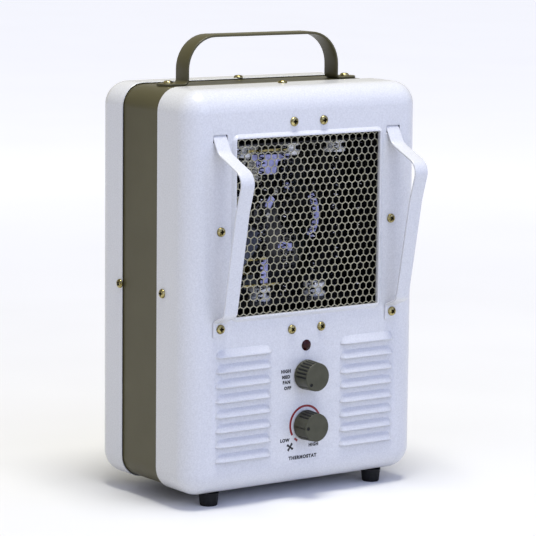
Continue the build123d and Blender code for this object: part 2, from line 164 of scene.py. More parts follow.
finishLooks = {
    "whitePowderCoat": {
        "dark": (0.565, 0.570, 0.583), "light": (0.655, 0.660, 0.673), "cloudScale": 760.0,
        "grainScale": 2600.0, "gloss": (0.26, 0.38), "bump": 0.10, "bumpDepth": 0.05,
        "peelScale": 420.0, "peel": 0.16, "peelDepth": 0.10, "coat": 0.25, "coatGloss": 0.14,
    },
    "taupeEnamel": {
        "dark": (0.066, 0.058, 0.024), "light": (0.082, 0.073, 0.033), "cloudScale": 14.0,
        "grainScale": 2400.0, "gloss": (0.30, 0.44), "bump": 0.12, "bumpDepth": 0.05,
        "peelScale": 480.0, "peel": 0.18, "peelDepth": 0.10, "ior": 1.38,
    },
    "taupeKnobPlastic": {
        "dark": (0.046, 0.046, 0.026), "light": (0.062, 0.061, 0.037), "cloudScale": 120.0,
        "grainScale": 3800.0, "gloss": (0.36, 0.52), "bump": 0.22, "bumpDepth": 0.06, "ior": 1.4,
        # near-black painted shade for the marked grooves
        "paintedShadeTone": (0.004, 0.004, 0.003),
    },
    "yellowZinc": {
        "dark": (0.13, 0.10, 0.03), "light": (0.60, 0.52, 0.24), "cloudScale": 420.0,
        "grainScale": 3000.0, "gloss": (0.16, 0.34), "bump": 0.10, "bumpDepth": 0.04, "metal": 1.0,
        # near-black painted shade for the marked cross recesses
        "paintedShadeTone": (0.012, 0.009, 0.006),
    },
    "grilleEnamel": {
        "dark": (0.29, 0.275, 0.19), "light": (0.43, 0.405, 0.29), "cloudScale": 60.0,
        "grainScale": 3000.0, "gloss": (0.25, 0.42), "bump": 0.12, "bumpDepth": 0.05, "metal": 0.35,
    },
    # painted shade: a near-black that stands in for the shade inside the casing
    "paintedShadeSheet": {
        "dark": (0.006, 0.006, 0.007), "light": (0.020, 0.019, 0.022), "cloudScale": 30.0,
        "grainScale": 1500.0, "gloss": (0.35, 0.60), "bump": 0.12, "bumpDepth": 0.06, "metal": 0.6,
    },
    # painted reflection: a pale blue that stands in for bluish light reflected off plates inside
    "paintedReflectionSheet": {
        "dark": (0.26, 0.26, 0.46), "light": (0.52, 0.52, 0.84), "cloudScale": 260.0,
        "grainScale": 1800.0, "gloss": (0.30, 0.50), "bump": 0.10, "bumpDepth": 0.05,
    },
    "glazedSteatite": {
        "dark": (0.84, 0.83, 0.80), "light": (0.93, 0.92, 0.90), "cloudScale": 120.0,
        "grainScale": 1600.0, "gloss": (0.12, 0.24), "bump": 0.08, "bumpDepth": 0.05,
        "coat": 0.6, "coatGloss": 0.06,
    },
    # painted glints: sparse pale spots stand in for highlights on the wire, and its near-black rest is
    # painted shade for the inside of the casing
    "paintedGlintWire": {
        "dark": (0.010, 0.010, 0.012), "light": (0.80, 0.78, 0.80), "cloudScale": 190.0,
        "split": (0.60, 0.64), "grainScale": 4000.0, "gloss": (0.18, 0.34), "bump": 0.12,
        "bumpDepth": 0.03, "metal": 1.0,
    },
    "blackPhenolic": {
        "dark": (0.012, 0.012, 0.012), "light": (0.028, 0.027, 0.026), "cloudScale": 160.0,
        "grainScale": 2600.0, "gloss": (0.32, 0.50), "bump": 0.15, "bumpDepth": 0.05,
    },
    # dark grey steel, darkened further as painted shade for the inside of the casing
    "fanSteelPaintedShade": {
        "dark": (0.05, 0.05, 0.055), "light": (0.10, 0.10, 0.11), "cloudScale": 50.0,
        "grainScale": 2200.0, "gloss": (0.28, 0.44), "bump": 0.10, "bumpDepth": 0.04, "metal": 0.9,
    },
    "turnedSteel": {
        "dark": (0.42, 0.42, 0.43), "light": (0.60, 0.60, 0.61), "cloudScale": 300.0,
        "grainScale": 2600.0, "gloss": (0.18, 0.36), "bump": 0.12, "bumpDepth": 0.03, "metal": 1.0,
    },
    "laminations": {
        "dark": (0.10, 0.105, 0.12), "light": (0.20, 0.205, 0.22), "cloudScale": 80.0,
        "stretch": (1, 12, 1), "grainScale": 240.0, "gloss": (0.34, 0.55), "bump": 0.35,
        "bumpDepth": 0.15, "metal": 0.8,
    },
    "windingTape": {
        "dark": (0.36, 0.24, 0.05), "light": (0.52, 0.37, 0.10), "cloudScale": 60.0, "stretch": (1, 1, 9),
        "grainScale": 160.0, "gloss": (0.40, 0.60), "bump": 0.35, "bumpDepth": 0.2,
    },
    "sinteredBronze": {
        "dark": (0.34, 0.22, 0.10), "light": (0.50, 0.34, 0.17), "cloudScale": 300.0,
        "grainScale": 3200.0, "gloss": (0.30, 0.50), "bump": 0.20, "bumpDepth": 0.05, "metal": 1.0,
    },
    "blackRubber": {
        "dark": (0.004, 0.004, 0.004), "light": (0.010, 0.010, 0.010), "cloudScale": 130.0,
        "grainScale": 2200.0, "gloss": (0.50, 0.70), "bump": 0.25, "bumpDepth": 0.08, "ior": 1.3,
    },
    "siliconeLead": {
        "dark": (0.30, 0.020, 0.015), "light": (0.42, 0.035, 0.028), "cloudScale": 120.0,
        "grainScale": 2000.0, "gloss": (0.35, 0.50), "bump": 0.12, "bumpDepth": 0.05,
    },
    "blackInk": {
        "dark": (0.006, 0.006, 0.007), "light": (0.016, 0.016, 0.018), "cloudScale": 900.0,
        "grainScale": 4000.0, "gloss": (0.40, 0.55), "bump": 0.10, "bumpDepth": 0.01,
    },
    "redInk": {
        "dark": (0.19, 0.006, 0.010), "light": (0.27, 0.012, 0.016), "cloudScale": 700.0,
        "grainScale": 4000.0, "gloss": (0.32, 0.46), "bump": 0.10, "bumpDepth": 0.01,
    },
    "redLens": {
        "dark": (0.014, 0.001, 0.0015), "light": (0.030, 0.0015, 0.002), "cloudScale": 500.0,
        "grainScale": 1800.0, "gloss": (0.06, 0.14), "bump": 0.05, "bumpDepth": 0.03,
        "ior": 1.3,
    },
}
for finishName, finishLook in finishLooks.items():
    grainedFinish(finishName, finishLook)
print("finishes made", len(finishes))


def meshPiece(name, bm, finish, angle=35.0, nodes=(), body="casing"):
    # turns an edit mesh into a finished piece that rides on a body
    mesh = bpy.data.meshes.new(name)
    bm.to_mesh(mesh)
    bm.free()
    return finishPiece(name, mesh, finish, angle, nodes, body)


def finishPiece(name, mesh, finish, angle=35.0, nodes=(), body="casing"):
    mesh.name = name
    mesh.materials.clear()
    mesh.materials.append(finishes[finish])
    mesh.shade_smooth()
    mesh.set_sharp_from_angle(angle=math.radians(angle))
    piece = bpy.data.objects.new(name, mesh)
    bpy.context.collection.objects.link(piece)
    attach(piece, body)
    if nodes:
        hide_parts(*nodes)
    return piece


def solidify(piece, thickness):
    modifier = piece.modifiers.new("wall", "SOLIDIFY")
    modifier.thickness = thickness * mm
    modifier.offset = -1.0


def evenShading(piece):
    # keeps flat faces flat beside their rolled edges
    modifier = piece.modifiers.new("evenShading", "WEIGHTED_NORMAL")
    modifier.mode = "FACE_AREA"
    modifier.weight = 60
    modifier.keep_sharp = True


def outwards(bm, merge=0.01):
    bmesh.ops.remove_doubles(bm, verts=bm.verts, dist=merge * mm)
    bmesh.ops.recalc_face_normals(bm, faces=bm.faces)


def roundedRing(width, height, radius, steps=8, middle=(0, 0)):
    # a rounded rectangle in the front view, running anticlockwise from the lower right corner
    points = []
    for number, (sx, sz) in enumerate(((1, -1), (1, 1), (-1, 1), (-1, -1))):
        cx, cz = sx * (width / 2 - radius), sz * (height / 2 - radius)
        for step in range(steps + 1):
            turn = math.radians(-90 + 90 * number + 90 * step / steps)
            x = middle[0] + cx + radius * math.cos(turn)
            z = middle[1] + cz + radius * math.sin(turn)
            points.append((x, z))
    return points


def circleRing(x, z, radius, steps=24):
    turns = [2 * math.pi * step / steps for step in range(steps)]
    return [(x + radius * math.cos(turn), z + radius * math.sin(turn)) for turn in turns]


def addRing(bm, points, depth):
    return [bm.verts.new(at(x, depth, z)) for x, z in points]


def bridge(bm, first, second, closed=True):
    count = len(first)
    for index in range(count if closed else count - 1):
        after = (index + 1) % count
        bm.faces.new((first[index], first[after], second[after], second[index]))


def ringEdges(bm, ring):
    pairs = [(ring[index - 1], ring[index]) for index in range(len(ring))]
    return [bm.edges.get(pair) or bm.edges.new(pair) for pair in pairs]


def fillFlat(bm, rings, normal=(0, -1, 0)):
    # fills the flat between an outline and the holes in it
    edges = [edge for ring in rings for edge in ringEdges(bm, ring)]
    bmesh.ops.triangle_fill(bm, use_beauty=True, use_dissolve=False, edges=edges, normal=normal)


def lathe(bm, profile, place, steps=32):
    # profile is (radius, height) pairs turned about the place's own Z; a radius of 0 makes a pole
    rings = []
    for radius, height in profile:
        if radius == 0:
            rings.append([bm.verts.new(place @ Vector((0, 0, height * mm)))])
            continue
        ring = []
        for step in range(steps):
            turn = 2 * math.pi * step / steps
            spot = Vector((radius * math.cos(turn) * mm, radius * math.sin(turn) * mm, height * mm))
            ring.append(bm.verts.new(place @ spot))
        rings.append(ring)
    for first, second in zip(rings, rings[1:]):
        if len(first) == 1 and len(second) == 1:
            continue
        for index in range(steps):
            after = (index + 1) % steps
            if len(first) == 1:
                bm.faces.new((first[0], second[index], second[after]))
            elif len(second) == 1:
                bm.faces.new((first[index], first[after], second[0]))
            else:
                bm.faces.new((first[index], first[after], second[after], second[index]))
    return rings


def facing(x, depth, z, way):
    # a place whose own Z points along way
    turn = Vector(way).to_track_quat("Z", "Y").to_matrix().to_4x4()
    return Matrix.Translation(at(x, depth, z)) @ turn


def filletPath(points, radii, steps=10):
    # a path of straight runs with each corner between them rounded
    path = [Vector(points[0])]
    for index, radius in enumerate(radii, start=1):
        corner = Vector(points[index])
        back = (Vector(points[index - 1]) - corner).normalized()
        ahead = (Vector(points[index + 1]) - corner).normalized()
        opening = back.angle(ahead)
        reach = radius / math.tan(opening / 2)
        centre = corner + (back + ahead).normalized() * (radius / math.sin(opening / 2))
        start = corner + back * reach - centre
        end = corner + ahead * reach - centre
        sweep = start.angle_signed(end)
        for step in range(steps + 1):
            turn = -sweep * step / steps
            path.append(centre + Vector((start.x * math.cos(turn) - start.y * math.sin(turn),
                                         start.x * math.sin(turn) + start.y * math.cos(turn))))
    path.append(Vector(points[-1]))
    return path


def strapMesh(path, width, thickness, edge, place, roundEnds=False):
    # sweeps a flat strap along a 2-D path; place(a, b, across) gives the point in space
    narrowest = 0.4
    if roundEnds:
        path = roundedEndPath(path, width / 2)
    bm = bmesh.new()
    rings = []
    for index, point in enumerate(path):
        before = path[max(index - 1, 0)]
        after = path[min(index + 1, len(path) - 1)]
        along = (after - before).normalized()
        normal = Vector((-along.y, along.x))
        half = width / 2
        if roundEnds:
            toEnd = min((point - path[0]).length, (point - path[-1]).length)
            if toEnd < half:
                half = max(math.sqrt(half ** 2 - (half - toEnd) ** 2), narrowest)
        ring = []
        for across, through in roundedRing(2 * half, thickness, min(edge, half * 0.6), 3):
            spot = point + normal * through
            ring.append(bm.verts.new(place(spot.x, spot.y, across)))
        rings.append(ring)
    for first, second in zip(rings, rings[1:]):
        bridge(bm, first, second)
    bm.faces.new(rings[0])
    bm.faces.new(rings[-1])
    outwards(bm, 0.001)
    return bm


def roundedEndPath(path, radius):
    # adds close points near both ends, so that the ends can be drawn round
    stations = [radius * (1 - math.cos(math.radians(12 * step))) for step in range(1, 8)]
    first = (path[1] - path[0]).normalized()
    last = (path[-2] - path[-1]).normalized()
    head = [path[0] + first * station for station in stations]
    tail = [path[-1] + last * station for station in reversed(stations)]
    return [path[0]] + head + path[1:-1] + tail + [path[-1]]


def newTree(name, inputs):
    # a Geometry Nodes tree with named inputs, and a map from each input's name to its socket identifier
    tree = bpy.data.node_groups.new(name, "GeometryNodeTree")
    names = {}
    for label, kind in inputs:
        socket = tree.interface.new_socket(name=label, in_out="INPUT", socket_type=kind)
        names[label] = socket.identifier
    tree.interface.new_socket(name="Geometry", in_out="OUTPUT", socket_type="NodeSocketGeometry")
    start = tree.nodes.new("NodeGroupInput")
    end = tree.nodes.new("NodeGroupOutput")
    return tree, names, start, end


def closeTree(tree, geometry, finish, end):
    realise = addNode(tree, "GeometryNodeRealizeInstances")
    setFinish = addNode(tree, "GeometryNodeSetMaterial", {"Material": finishes[finish]})
    join(tree, geometry, realise.inputs[0])
    join(tree, realise.outputs[0], setFinish.inputs[0])
    join(tree, setFinish.outputs[0], end.inputs[0])


def meshFromTree(host, tree, names, values):
    # runs the tree on the host object and returns its result as a plain mesh
    modifier = host.modifiers.new("build", "NODES")
    modifier.node_group = tree
    for label, value in values.items():
        modifier[names[label]] = value
    graph = bpy.context.evaluated_depsgraph_get()
    graph.update()
    mesh = bpy.data.meshes.new_from_object(host.evaluated_get(graph), depsgraph=graph)
    host.modifiers.remove(modifier)
    bpy.data.objects.remove(host)
    return mesh


quarterTurn = 1.57
twistStep = 2.4  # radians from one copy to the next, so that no two neighbours match


def pointHost(name, places):
    # one vertex for each place, with the way that its instance's own Z points
    mesh = bpy.data.meshes.new(name)
    mesh.from_pydata([place for place, _ in places], [], [])
    aim = mesh.attributes.new("aim", "FLOAT_VECTOR", "POINT")
    for index, (_, way) in enumerate(places):
        aim.data[index].vector = way
    twist = mesh.attributes.new("twist", "FLOAT", "POINT")  # a new attribute ends the hold on the one before
    for index in range(len(places)):
        twist.data[index].value = (index * twistStep) % quarterTurn
    host = bpy.data.objects.new(name, mesh)
    bpy.context.collection.objects.link(host)
    return host


def copiesTree(name, finish):
    # stands a copy of one object on each point, turned to the point's aim
    tree, names, start, end = newTree(name, (
        ("Points", "NodeSocketGeometry"), ("Pattern", "NodeSocketObject"), ("Scale", "NodeSocketFloat"),
        ("Twist", "NodeSocketFloat")))
    info = addNode(tree, "GeometryNodeObjectInfo")
    aim = addNode(tree, "GeometryNodeInputNamedAttribute", {"Name": "aim"}, data_type="FLOAT_VECTOR")
    twist = addNode(tree, "GeometryNodeInputNamedAttribute", {"Name": "twist"}, data_type="FLOAT")
    amount = addNode(tree, "ShaderNodeMath", operation="MULTIPLY")
    align = addNode(tree, "FunctionNodeAlignRotationToVector", axis="Z")
    spin = addNode(tree, "FunctionNodeAxisAngleToRotation", {"Axis": (0, 0, 1)})
    turn = addNode(tree, "FunctionNodeRotateRotation", rotation_space="LOCAL")
    copies = addNode(tree, "GeometryNodeInstanceOnPoints")
    join(tree, start.outputs["Points"], copies.inputs["Points"])
    join(tree, start.outputs["Pattern"], info.inputs["Object"])
    join(tree, info.outputs["Geometry"], copies.inputs["Instance"])
    join(tree, start.outputs["Scale"], copies.inputs["Scale"])
    join(tree, aim.outputs[0], align.inputs["Vector"])
    join(tree, twist.outputs[0], amount.inputs[0])
    join(tree, start.outputs["Twist"], amount.inputs[1])
    join(tree, amount.outputs[0], spin.inputs["Angle"])
    join(tree, align.outputs[0], turn.inputs["Rotation"])
    join(tree, spin.outputs[0], turn.inputs["Rotate By"])
    join(tree, turn.outputs[0], copies.inputs["Rotation"])
    closeTree(tree, copies.outputs[0], finish, end)
    return tree, names


def copiesOf(name, pattern, places, finish, twist=0.0):
    tree, names = copiesTree(name + "Copies", finish)
    host = pointHost(name, places)
    bpy.context.collection.objects.link(pattern)
    mesh = meshFromTree(host, tree, names, {"Pattern": pattern, "Scale": 1.0, "Twist": twist})
    bpy.context.collection.objects.unlink(pattern)
    return mesh


def patternObject(name, bm):
    mesh = bpy.data.meshes.new(name)
    bm.to_mesh(mesh)
    bm.free()
    return bpy.data.objects.new(name, mesh)


panLook = {"arcSteps": 9, "cornerSteps": 10, "flatMargin": 0.7, "tightest": 0.3, "wall": 1.1}
lipLook = {
    "profile": ((4.6, 0.0), (4.1, -0.25), (3.3, -1.0), (2.4, -1.85), (1.6, -2.35), (0.9, -2.55),
                (0.35, -2.45), (0.05, -2.05), (0.0, -1.4), (0.0, 1.2)),
    "innerCorner": 0.9, "cornerGrowth": 1.5, "cornerSteps": 6,
}
louvreLook = {
    "inner": 37.2, "outer": 96.4, "top": 133.5, "pitch": 13.13, "count": 8, "rise": 7.4, "reach": 3.7,
    "slant": 3.6, "slantCurve": 1.6, "sag": 0.35, "endLength": 4.6, "endCurve": 0.8, "lipAngle": 84.0,
    "along": 16, "down": 8,
}
window = {"half": 77.0, "middle": (grilleLow[2] + grilleHigh[2]) / 2 / mm}
guardLook = {
    "x": 93.0, "width": 14.0, "strap": 2.0, "edge": 0.95, "slotZ": 322.6, "slotHeight": 7.0,
    "slotSlack": 1.0, "slotCorner": 0.8, "screwZ": 158.9,
    "fromSlot": ((2.4, 10.7), (2.4, 3.2), (-6.7, -12.3), (-43.52, -28.88), (-33.8, -60.6)),
    "fromScrew": ((-16.6, 12.6), (-1.0, 6.2), (-1.0, -7.0)),
    "radii": (2.0, 12.0, 12.0, 30.0, 7.0, 2.0),
}


def panSurface(bm, skirt, closed):
    # the drawn pan from its skirt to its flat face; returns the last ring, from which the face is filled
    way = 1 if closed > skirt else -1
    stations = [(abs(closed - skirt), 0.0)]
    for step in range(panLook["arcSteps"] + 1):
        turn = math.radians(90 * step / panLook["arcSteps"])
        stations.append((casing["edge"] * (1 - math.sin(turn)), casing["edge"] * (1 - math.cos(turn))))
    stations.append((0.0, casing["edge"] + panLook["flatMargin"]))
    last = None
    for fromFace, inset in stations:
        corner = max(casing["corner"] - inset, panLook["tightest"])
        outline = roundedRing(casing["width"] - 2 * inset, casing["height"] - 2 * inset, corner,
                              panLook["cornerSteps"], (0, casing["middle"]))
        ring = addRing(bm, outline, closed - way * fromFace)
        if last:
            bridge(bm, last, ring)
        last = ring
    return last


def louvreGrid():
    # rows of (x, depth, z) from the crease at the top to the free lip, about the middle of the lip's chord
    look = louvreLook
    length = look["outer"] - look["inner"]
    rows = []
    for down in range(look["down"] + 1):
        v = down / look["down"]
        half = length / 2 - look["slant"] * (1 - v) ** look["slantCurve"]
        z = look["rise"] * (1 - v) - (look["sag"] * math.sin(math.pi * v) if v < 1 else 0)
        row = []
        for along in range(look["along"] + 1):
            u = along / look["along"]
            x = half * math.sin(math.pi * (u - 0.5))
            toEnd = min(max((half - abs(x)) / look["endLength"], 0), 1)
            swell = math.sin(toEnd * math.pi / 2) ** look["endCurve"]
            row.append((x, -look["reach"] * swell * math.sin(v * math.radians(look["lipAngle"])), z))
        rows.append(row)
    return rows


def louvrePattern():
    bm = bmesh.new()
    rows = [[bm.verts.new((x * mm, depth * mm, z * mm)) for x, depth, z in row] for row in louvreGrid()]
    for first, second in zip(rows, rows[1:]):
        bridge(bm, first, second, closed=False)
    return patternObject("louvreHood", bm)


def louvrePlaces():
    middle = (louvreLook["inner"] + louvreLook["outer"]) / 2
    return [(side * middle, louvreLook["top"] - row * louvreLook["pitch"])
            for side in (-1, 1) for row in range(louvreLook["count"])]


def louvreOutline(cx, cz):
    rows = louvreGrid()
    outline = [(x, z) for x, _, z in rows[0]]
    outline += [(row[-1][0], row[-1][2]) for row in rows[1:]]
    outline += [(row[0][0], row[0][2]) for row in reversed(rows[1:])]
    return [(cx + x, cz + z) for x, z in outline]


def frontShell():
    bm = bmesh.new()
    holes = [panSurface(bm, skirtFront, 0.0)]
    last = None
    for offset, depth in lipLook["profile"]:
        size = 2 * (window["half"] + offset)
        corner = lipLook["innerCorner"] + lipLook["cornerGrowth"] * offset
        outline = roundedRing(size, size, corner, lipLook["cornerSteps"], (0, window["middle"]))
        ring = addRing(bm, outline, depth)
        if last:
            bridge(bm, last, ring)
        else:
            holes.append(ring)
        last = ring
    for side in (-1, 1):
        slot = roundedRing(guardLook["width"] + guardLook["slotSlack"], guardLook["slotHeight"],
                           guardLook["slotCorner"], 2, (side * guardLook["x"], guardLook["slotZ"]))
        holes.append(addRing(bm, slot, 0.0))
    for cx, cz in louvrePlaces():
        holes.append(addRing(bm, louvreOutline(cx, cz), 0.0))
    fillFlat(bm, holes)
    places = [(at(cx, 0, cz), (0, 0, 1)) for cx, cz in louvrePlaces()]
    bm.from_mesh(copiesOf("louvres", louvrePattern(), places, "whitePowderCoat"))
    outwards(bm)
    piece = meshPiece("frontShellPan", bm, "whitePowderCoat", 32, ["front_shell"])
    solidify(piece, panLook["wall"])
    evenShading(piece)


inletLook = {
    "radius": 72.0, "steps": 72, "glandHole": 8.3,
    "rim": ((5.0, 0), (3.8, -0.5), (2.4, -1.4), (1.2, -1.8), (0.3, -2.0), (0.0, -2.6)),
    "slits": 5, "slitPitch": 12.0, "slitZ": 45.0, "slitX": -30.0, "slitLength": 90.0, "slitWidth": 4.0,
    "slitCorner": 1.95,
}
bandLook = {"corner": 19.6, "cornerSteps": 12, "hem": 0.5, "wall": 1.2}
glandX = sum(corner[0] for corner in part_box("cord_gland")) / 2 / mm
glandZ = sum(corner[2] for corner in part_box("cord_gland")) / 2 / mm


def rearShell():
    look = inletLook
    bm = bmesh.new()
    holes = [panSurface(bm, skirtRear, backDepth)]
    last = None
    for offset, depth in look["rim"]:
        outline = circleRing(0, window["middle"], look["radius"] + offset, look["steps"])
        ring = addRing(bm, outline, backDepth + depth)
        if last:
            bridge(bm, last, ring)
        else:
            holes.append(ring)
        last = ring
    holes.append(addRing(bm, circleRing(glandX, glandZ, look["glandHole"]), backDepth))
    for row in range(look["slits"]):
        middle = (look["slitX"], look["slitZ"] + row * look["slitPitch"])
        slit = roundedRing(look["slitLength"], look["slitWidth"], look["slitCorner"], 5, middle)
        holes.append(addRing(bm, slit, backDepth))
    fillFlat(bm, holes)
    outwards(bm)
    piece = meshPiece("rearShellPan", bm, "whitePowderCoat", 32, ["rear_shell"])
    solidify(piece, panLook["wall"])
    evenShading(piece)


def centreBand():
    bm = bmesh.new()
    width = (bandHigh[0] - bandLow[0]) / mm
    height = (bandHigh[2] - bandLow[2]) / mm
    near, far = (bandLow[1] - panelY) / mm, (bandHigh[1] - panelY) / mm
    last = None
    outline = roundedRing(width, height, bandLook["corner"], bandLook["cornerSteps"], (0, casing["middle"]))
    for depth in (near, near + bandLook["hem"], far - bandLook["hem"], far):
        ring = addRing(bm, outline, depth)
        if last:
            bridge(bm, last, ring)
        last = ring
    outwards(bm)
    piece = meshPiece("bandSleeve", bm, "taupeEnamel", 32, ["centre_band"])
    solidify(piece, bandLook["wall"])


frontShell()
rearShell()
centreBand()
print("shells made")


handleLook = {
    "half": 82.0, "tab": 106.0, "width": 19.0, "strap": 2.2, "bend": 29.0, "foot": 3.5, "edge": 0.8,
    "screwX": 96.0,
}
handleLow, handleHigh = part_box("carry_handle")
handleDepth = ((handleLow[1] + handleHigh[1]) / 2 - panelY) / mm


def carryHandle():
    look = handleLook
    leg = look["half"] - look["strap"] / 2
    low = handleLow[2] / mm + look["strap"] / 2
    top = handleHigh[2] / mm - look["strap"] / 2
    points = [(-look["tab"], low), (-leg, low), (-leg, top), (leg, top), (leg, low), (look["tab"], low)]
    path = filletPath(points, [look["foot"], look["bend"], look["bend"], look["foot"]])
    bm = strapMesh(path, look["width"], look["strap"], look["edge"],
                   lambda a, b, across: at(a, handleDepth + across, b), roundEnds=True)
    meshPiece("handleStrap", bm, "taupeEnamel", 30, ["carry_handle"])


def guardBar(side, name, node):
    # the corners are (depth, height), from the slot at the top and from the screw at the foot
    look = guardLook
    points = [(depth, look["slotZ"] + height) for depth, height in look["fromSlot"]]
    points += [(depth, look["screwZ"] + height) for depth, height in look["fromScrew"]]
    path = filletPath(points, look["radii"])
    bm = strapMesh(path, look["width"], look["strap"], look["edge"],
                   lambda a, b, across: at(side * look["x"] + across, a, b))
    meshPiece(name, bm, "whitePowderCoat", 30, [node])


carryHandle()
guardBar(-1, "guardStrapLeft", "guard_bar_left")
guardBar(1, "guardStrapRight", "guard_bar_right")
print("handle and guards made")


screwLook = {
    "shank": 1.8, "length": 7.0, "tip": 0.8, "height": 2.3, "steps": 24,
    "head": ((4.15, 0), (4.15, 0.55), (3.95, 1.2), (3.5, 1.75), (2.95, 2.1), (2.75, 2.2), (2.45, 2.3)),
    "armHalf": 0.55, "arm": 2.05, "recess": 1.7, "taper": 0.80, "paintedShadeWithin": 2.2,
}
screwRows = {
    "shellDepths": (40.0, 108.2), "shellZ": 187.0, "grilleX": 15.9, "grilleZ": (334.1, 151.8),
    "earX": 91.8, "earZ": 242.8,
}


def crossRing(bm, share, z):
    # the outline of the cross recess at a share of its full size
    arm, half = screwLook["arm"] * share, screwLook["armHalf"] * share
    ring = []
    for cosine, sine in ((1, 0), (0, 1), (-1, 0), (0, -1)):
        for a, b in ((arm, -half), (arm, half), (half, half)):
            spot = Vector((a * cosine - b * sine, a * sine + b * cosine, z))
            ring.append(bm.verts.new(spot * mm))
    return ring


def screwPattern():
    # pan head with a tapered cross recess, and a plain shank
    look = screwLook
    bm = bmesh.new()
    shank = ((0, -look["length"]), (look["shank"], look["tip"] - look["length"]), (look["shank"], 0))
    deepest = look["height"] - look["recess"]
    rings = lathe(bm, shank + look["head"], Matrix.Identity(4), look["steps"])
    mouth = crossRing(bm, 1.0, look["height"])
    floor = crossRing(bm, look["taper"], deepest)
    fillFlat(bm, [rings[-1], mouth], (0, 0, 1))
    bridge(bm, mouth, floor)
    fillFlat(bm, [floor], (0, 0, 1))
    outwards(bm, 0.001)
    pattern = patternObject("panHeadScrew", bm)
    # painted shade: the cross recess is marked so that its finish darkens it as if in shade
    paintedShade = pattern.data.attributes.new("paintedShade", "FLOAT", "POINT")
    for vertex in pattern.data.vertices:
        spot = vertex.co / mm
        inRecess = spot.z > deepest - 0.01 and math.hypot(spot.x, spot.y) < look["paintedShadeWithin"]
        paintedShade.data[vertex.index].value = 1.0 if inRecess else 0.0
    return pattern


def screwPlaces():
    rows = screwRows
    sides = (-1, 1)
    forwards, upwards = (0, -1, 0), (0, 0, 1)
    strapTop = handleLow[2] / mm + handleLook["strap"]
    half = casing["width"] / 2
    shell = []
    for depth in rows["shellDepths"]:
        shell.append((at(-half, depth, rows["shellZ"]), (-1, 0, 0)))
        shell.append((at(half, depth, rows["shellZ"]), (1, 0, 0)))
        shell.append((at(0, depth, casing["top"]), upwards))
    grille = [(at(side * rows["grilleX"], 0, z), forwards) for side in sides for z in rows["grilleZ"]]
    grille += [(at(side * rows["earX"], 0, rows["earZ"]), forwards) for side in sides]
    guard = [(at(side * guardLook["x"], -guardLook["strap"], guardLook["screwZ"]), forwards)
             for side in sides]
    handle = [(at(side * handleLook["screwX"], handleDepth, strapTop), upwards) for side in sides]
    return {"shell": shell, "grille": grille, "guard": guard, "handle": handle}


screwPatternPiece = screwPattern()
for group, places in screwPlaces().items():
    screwMesh = copiesOf(group + "Screws", screwPatternPiece, places, "yellowZinc", 1.0)
    finishPiece(group + "ScrewHeads", screwMesh, "yellowZinc", 30, [group + "_screws"])
print("screws made")


grilleLook = {"pitch": 7.0, "strand": 0.68, "sheet": 0.9, "margin": 3.5, "near": 1.35, "spare": 3}


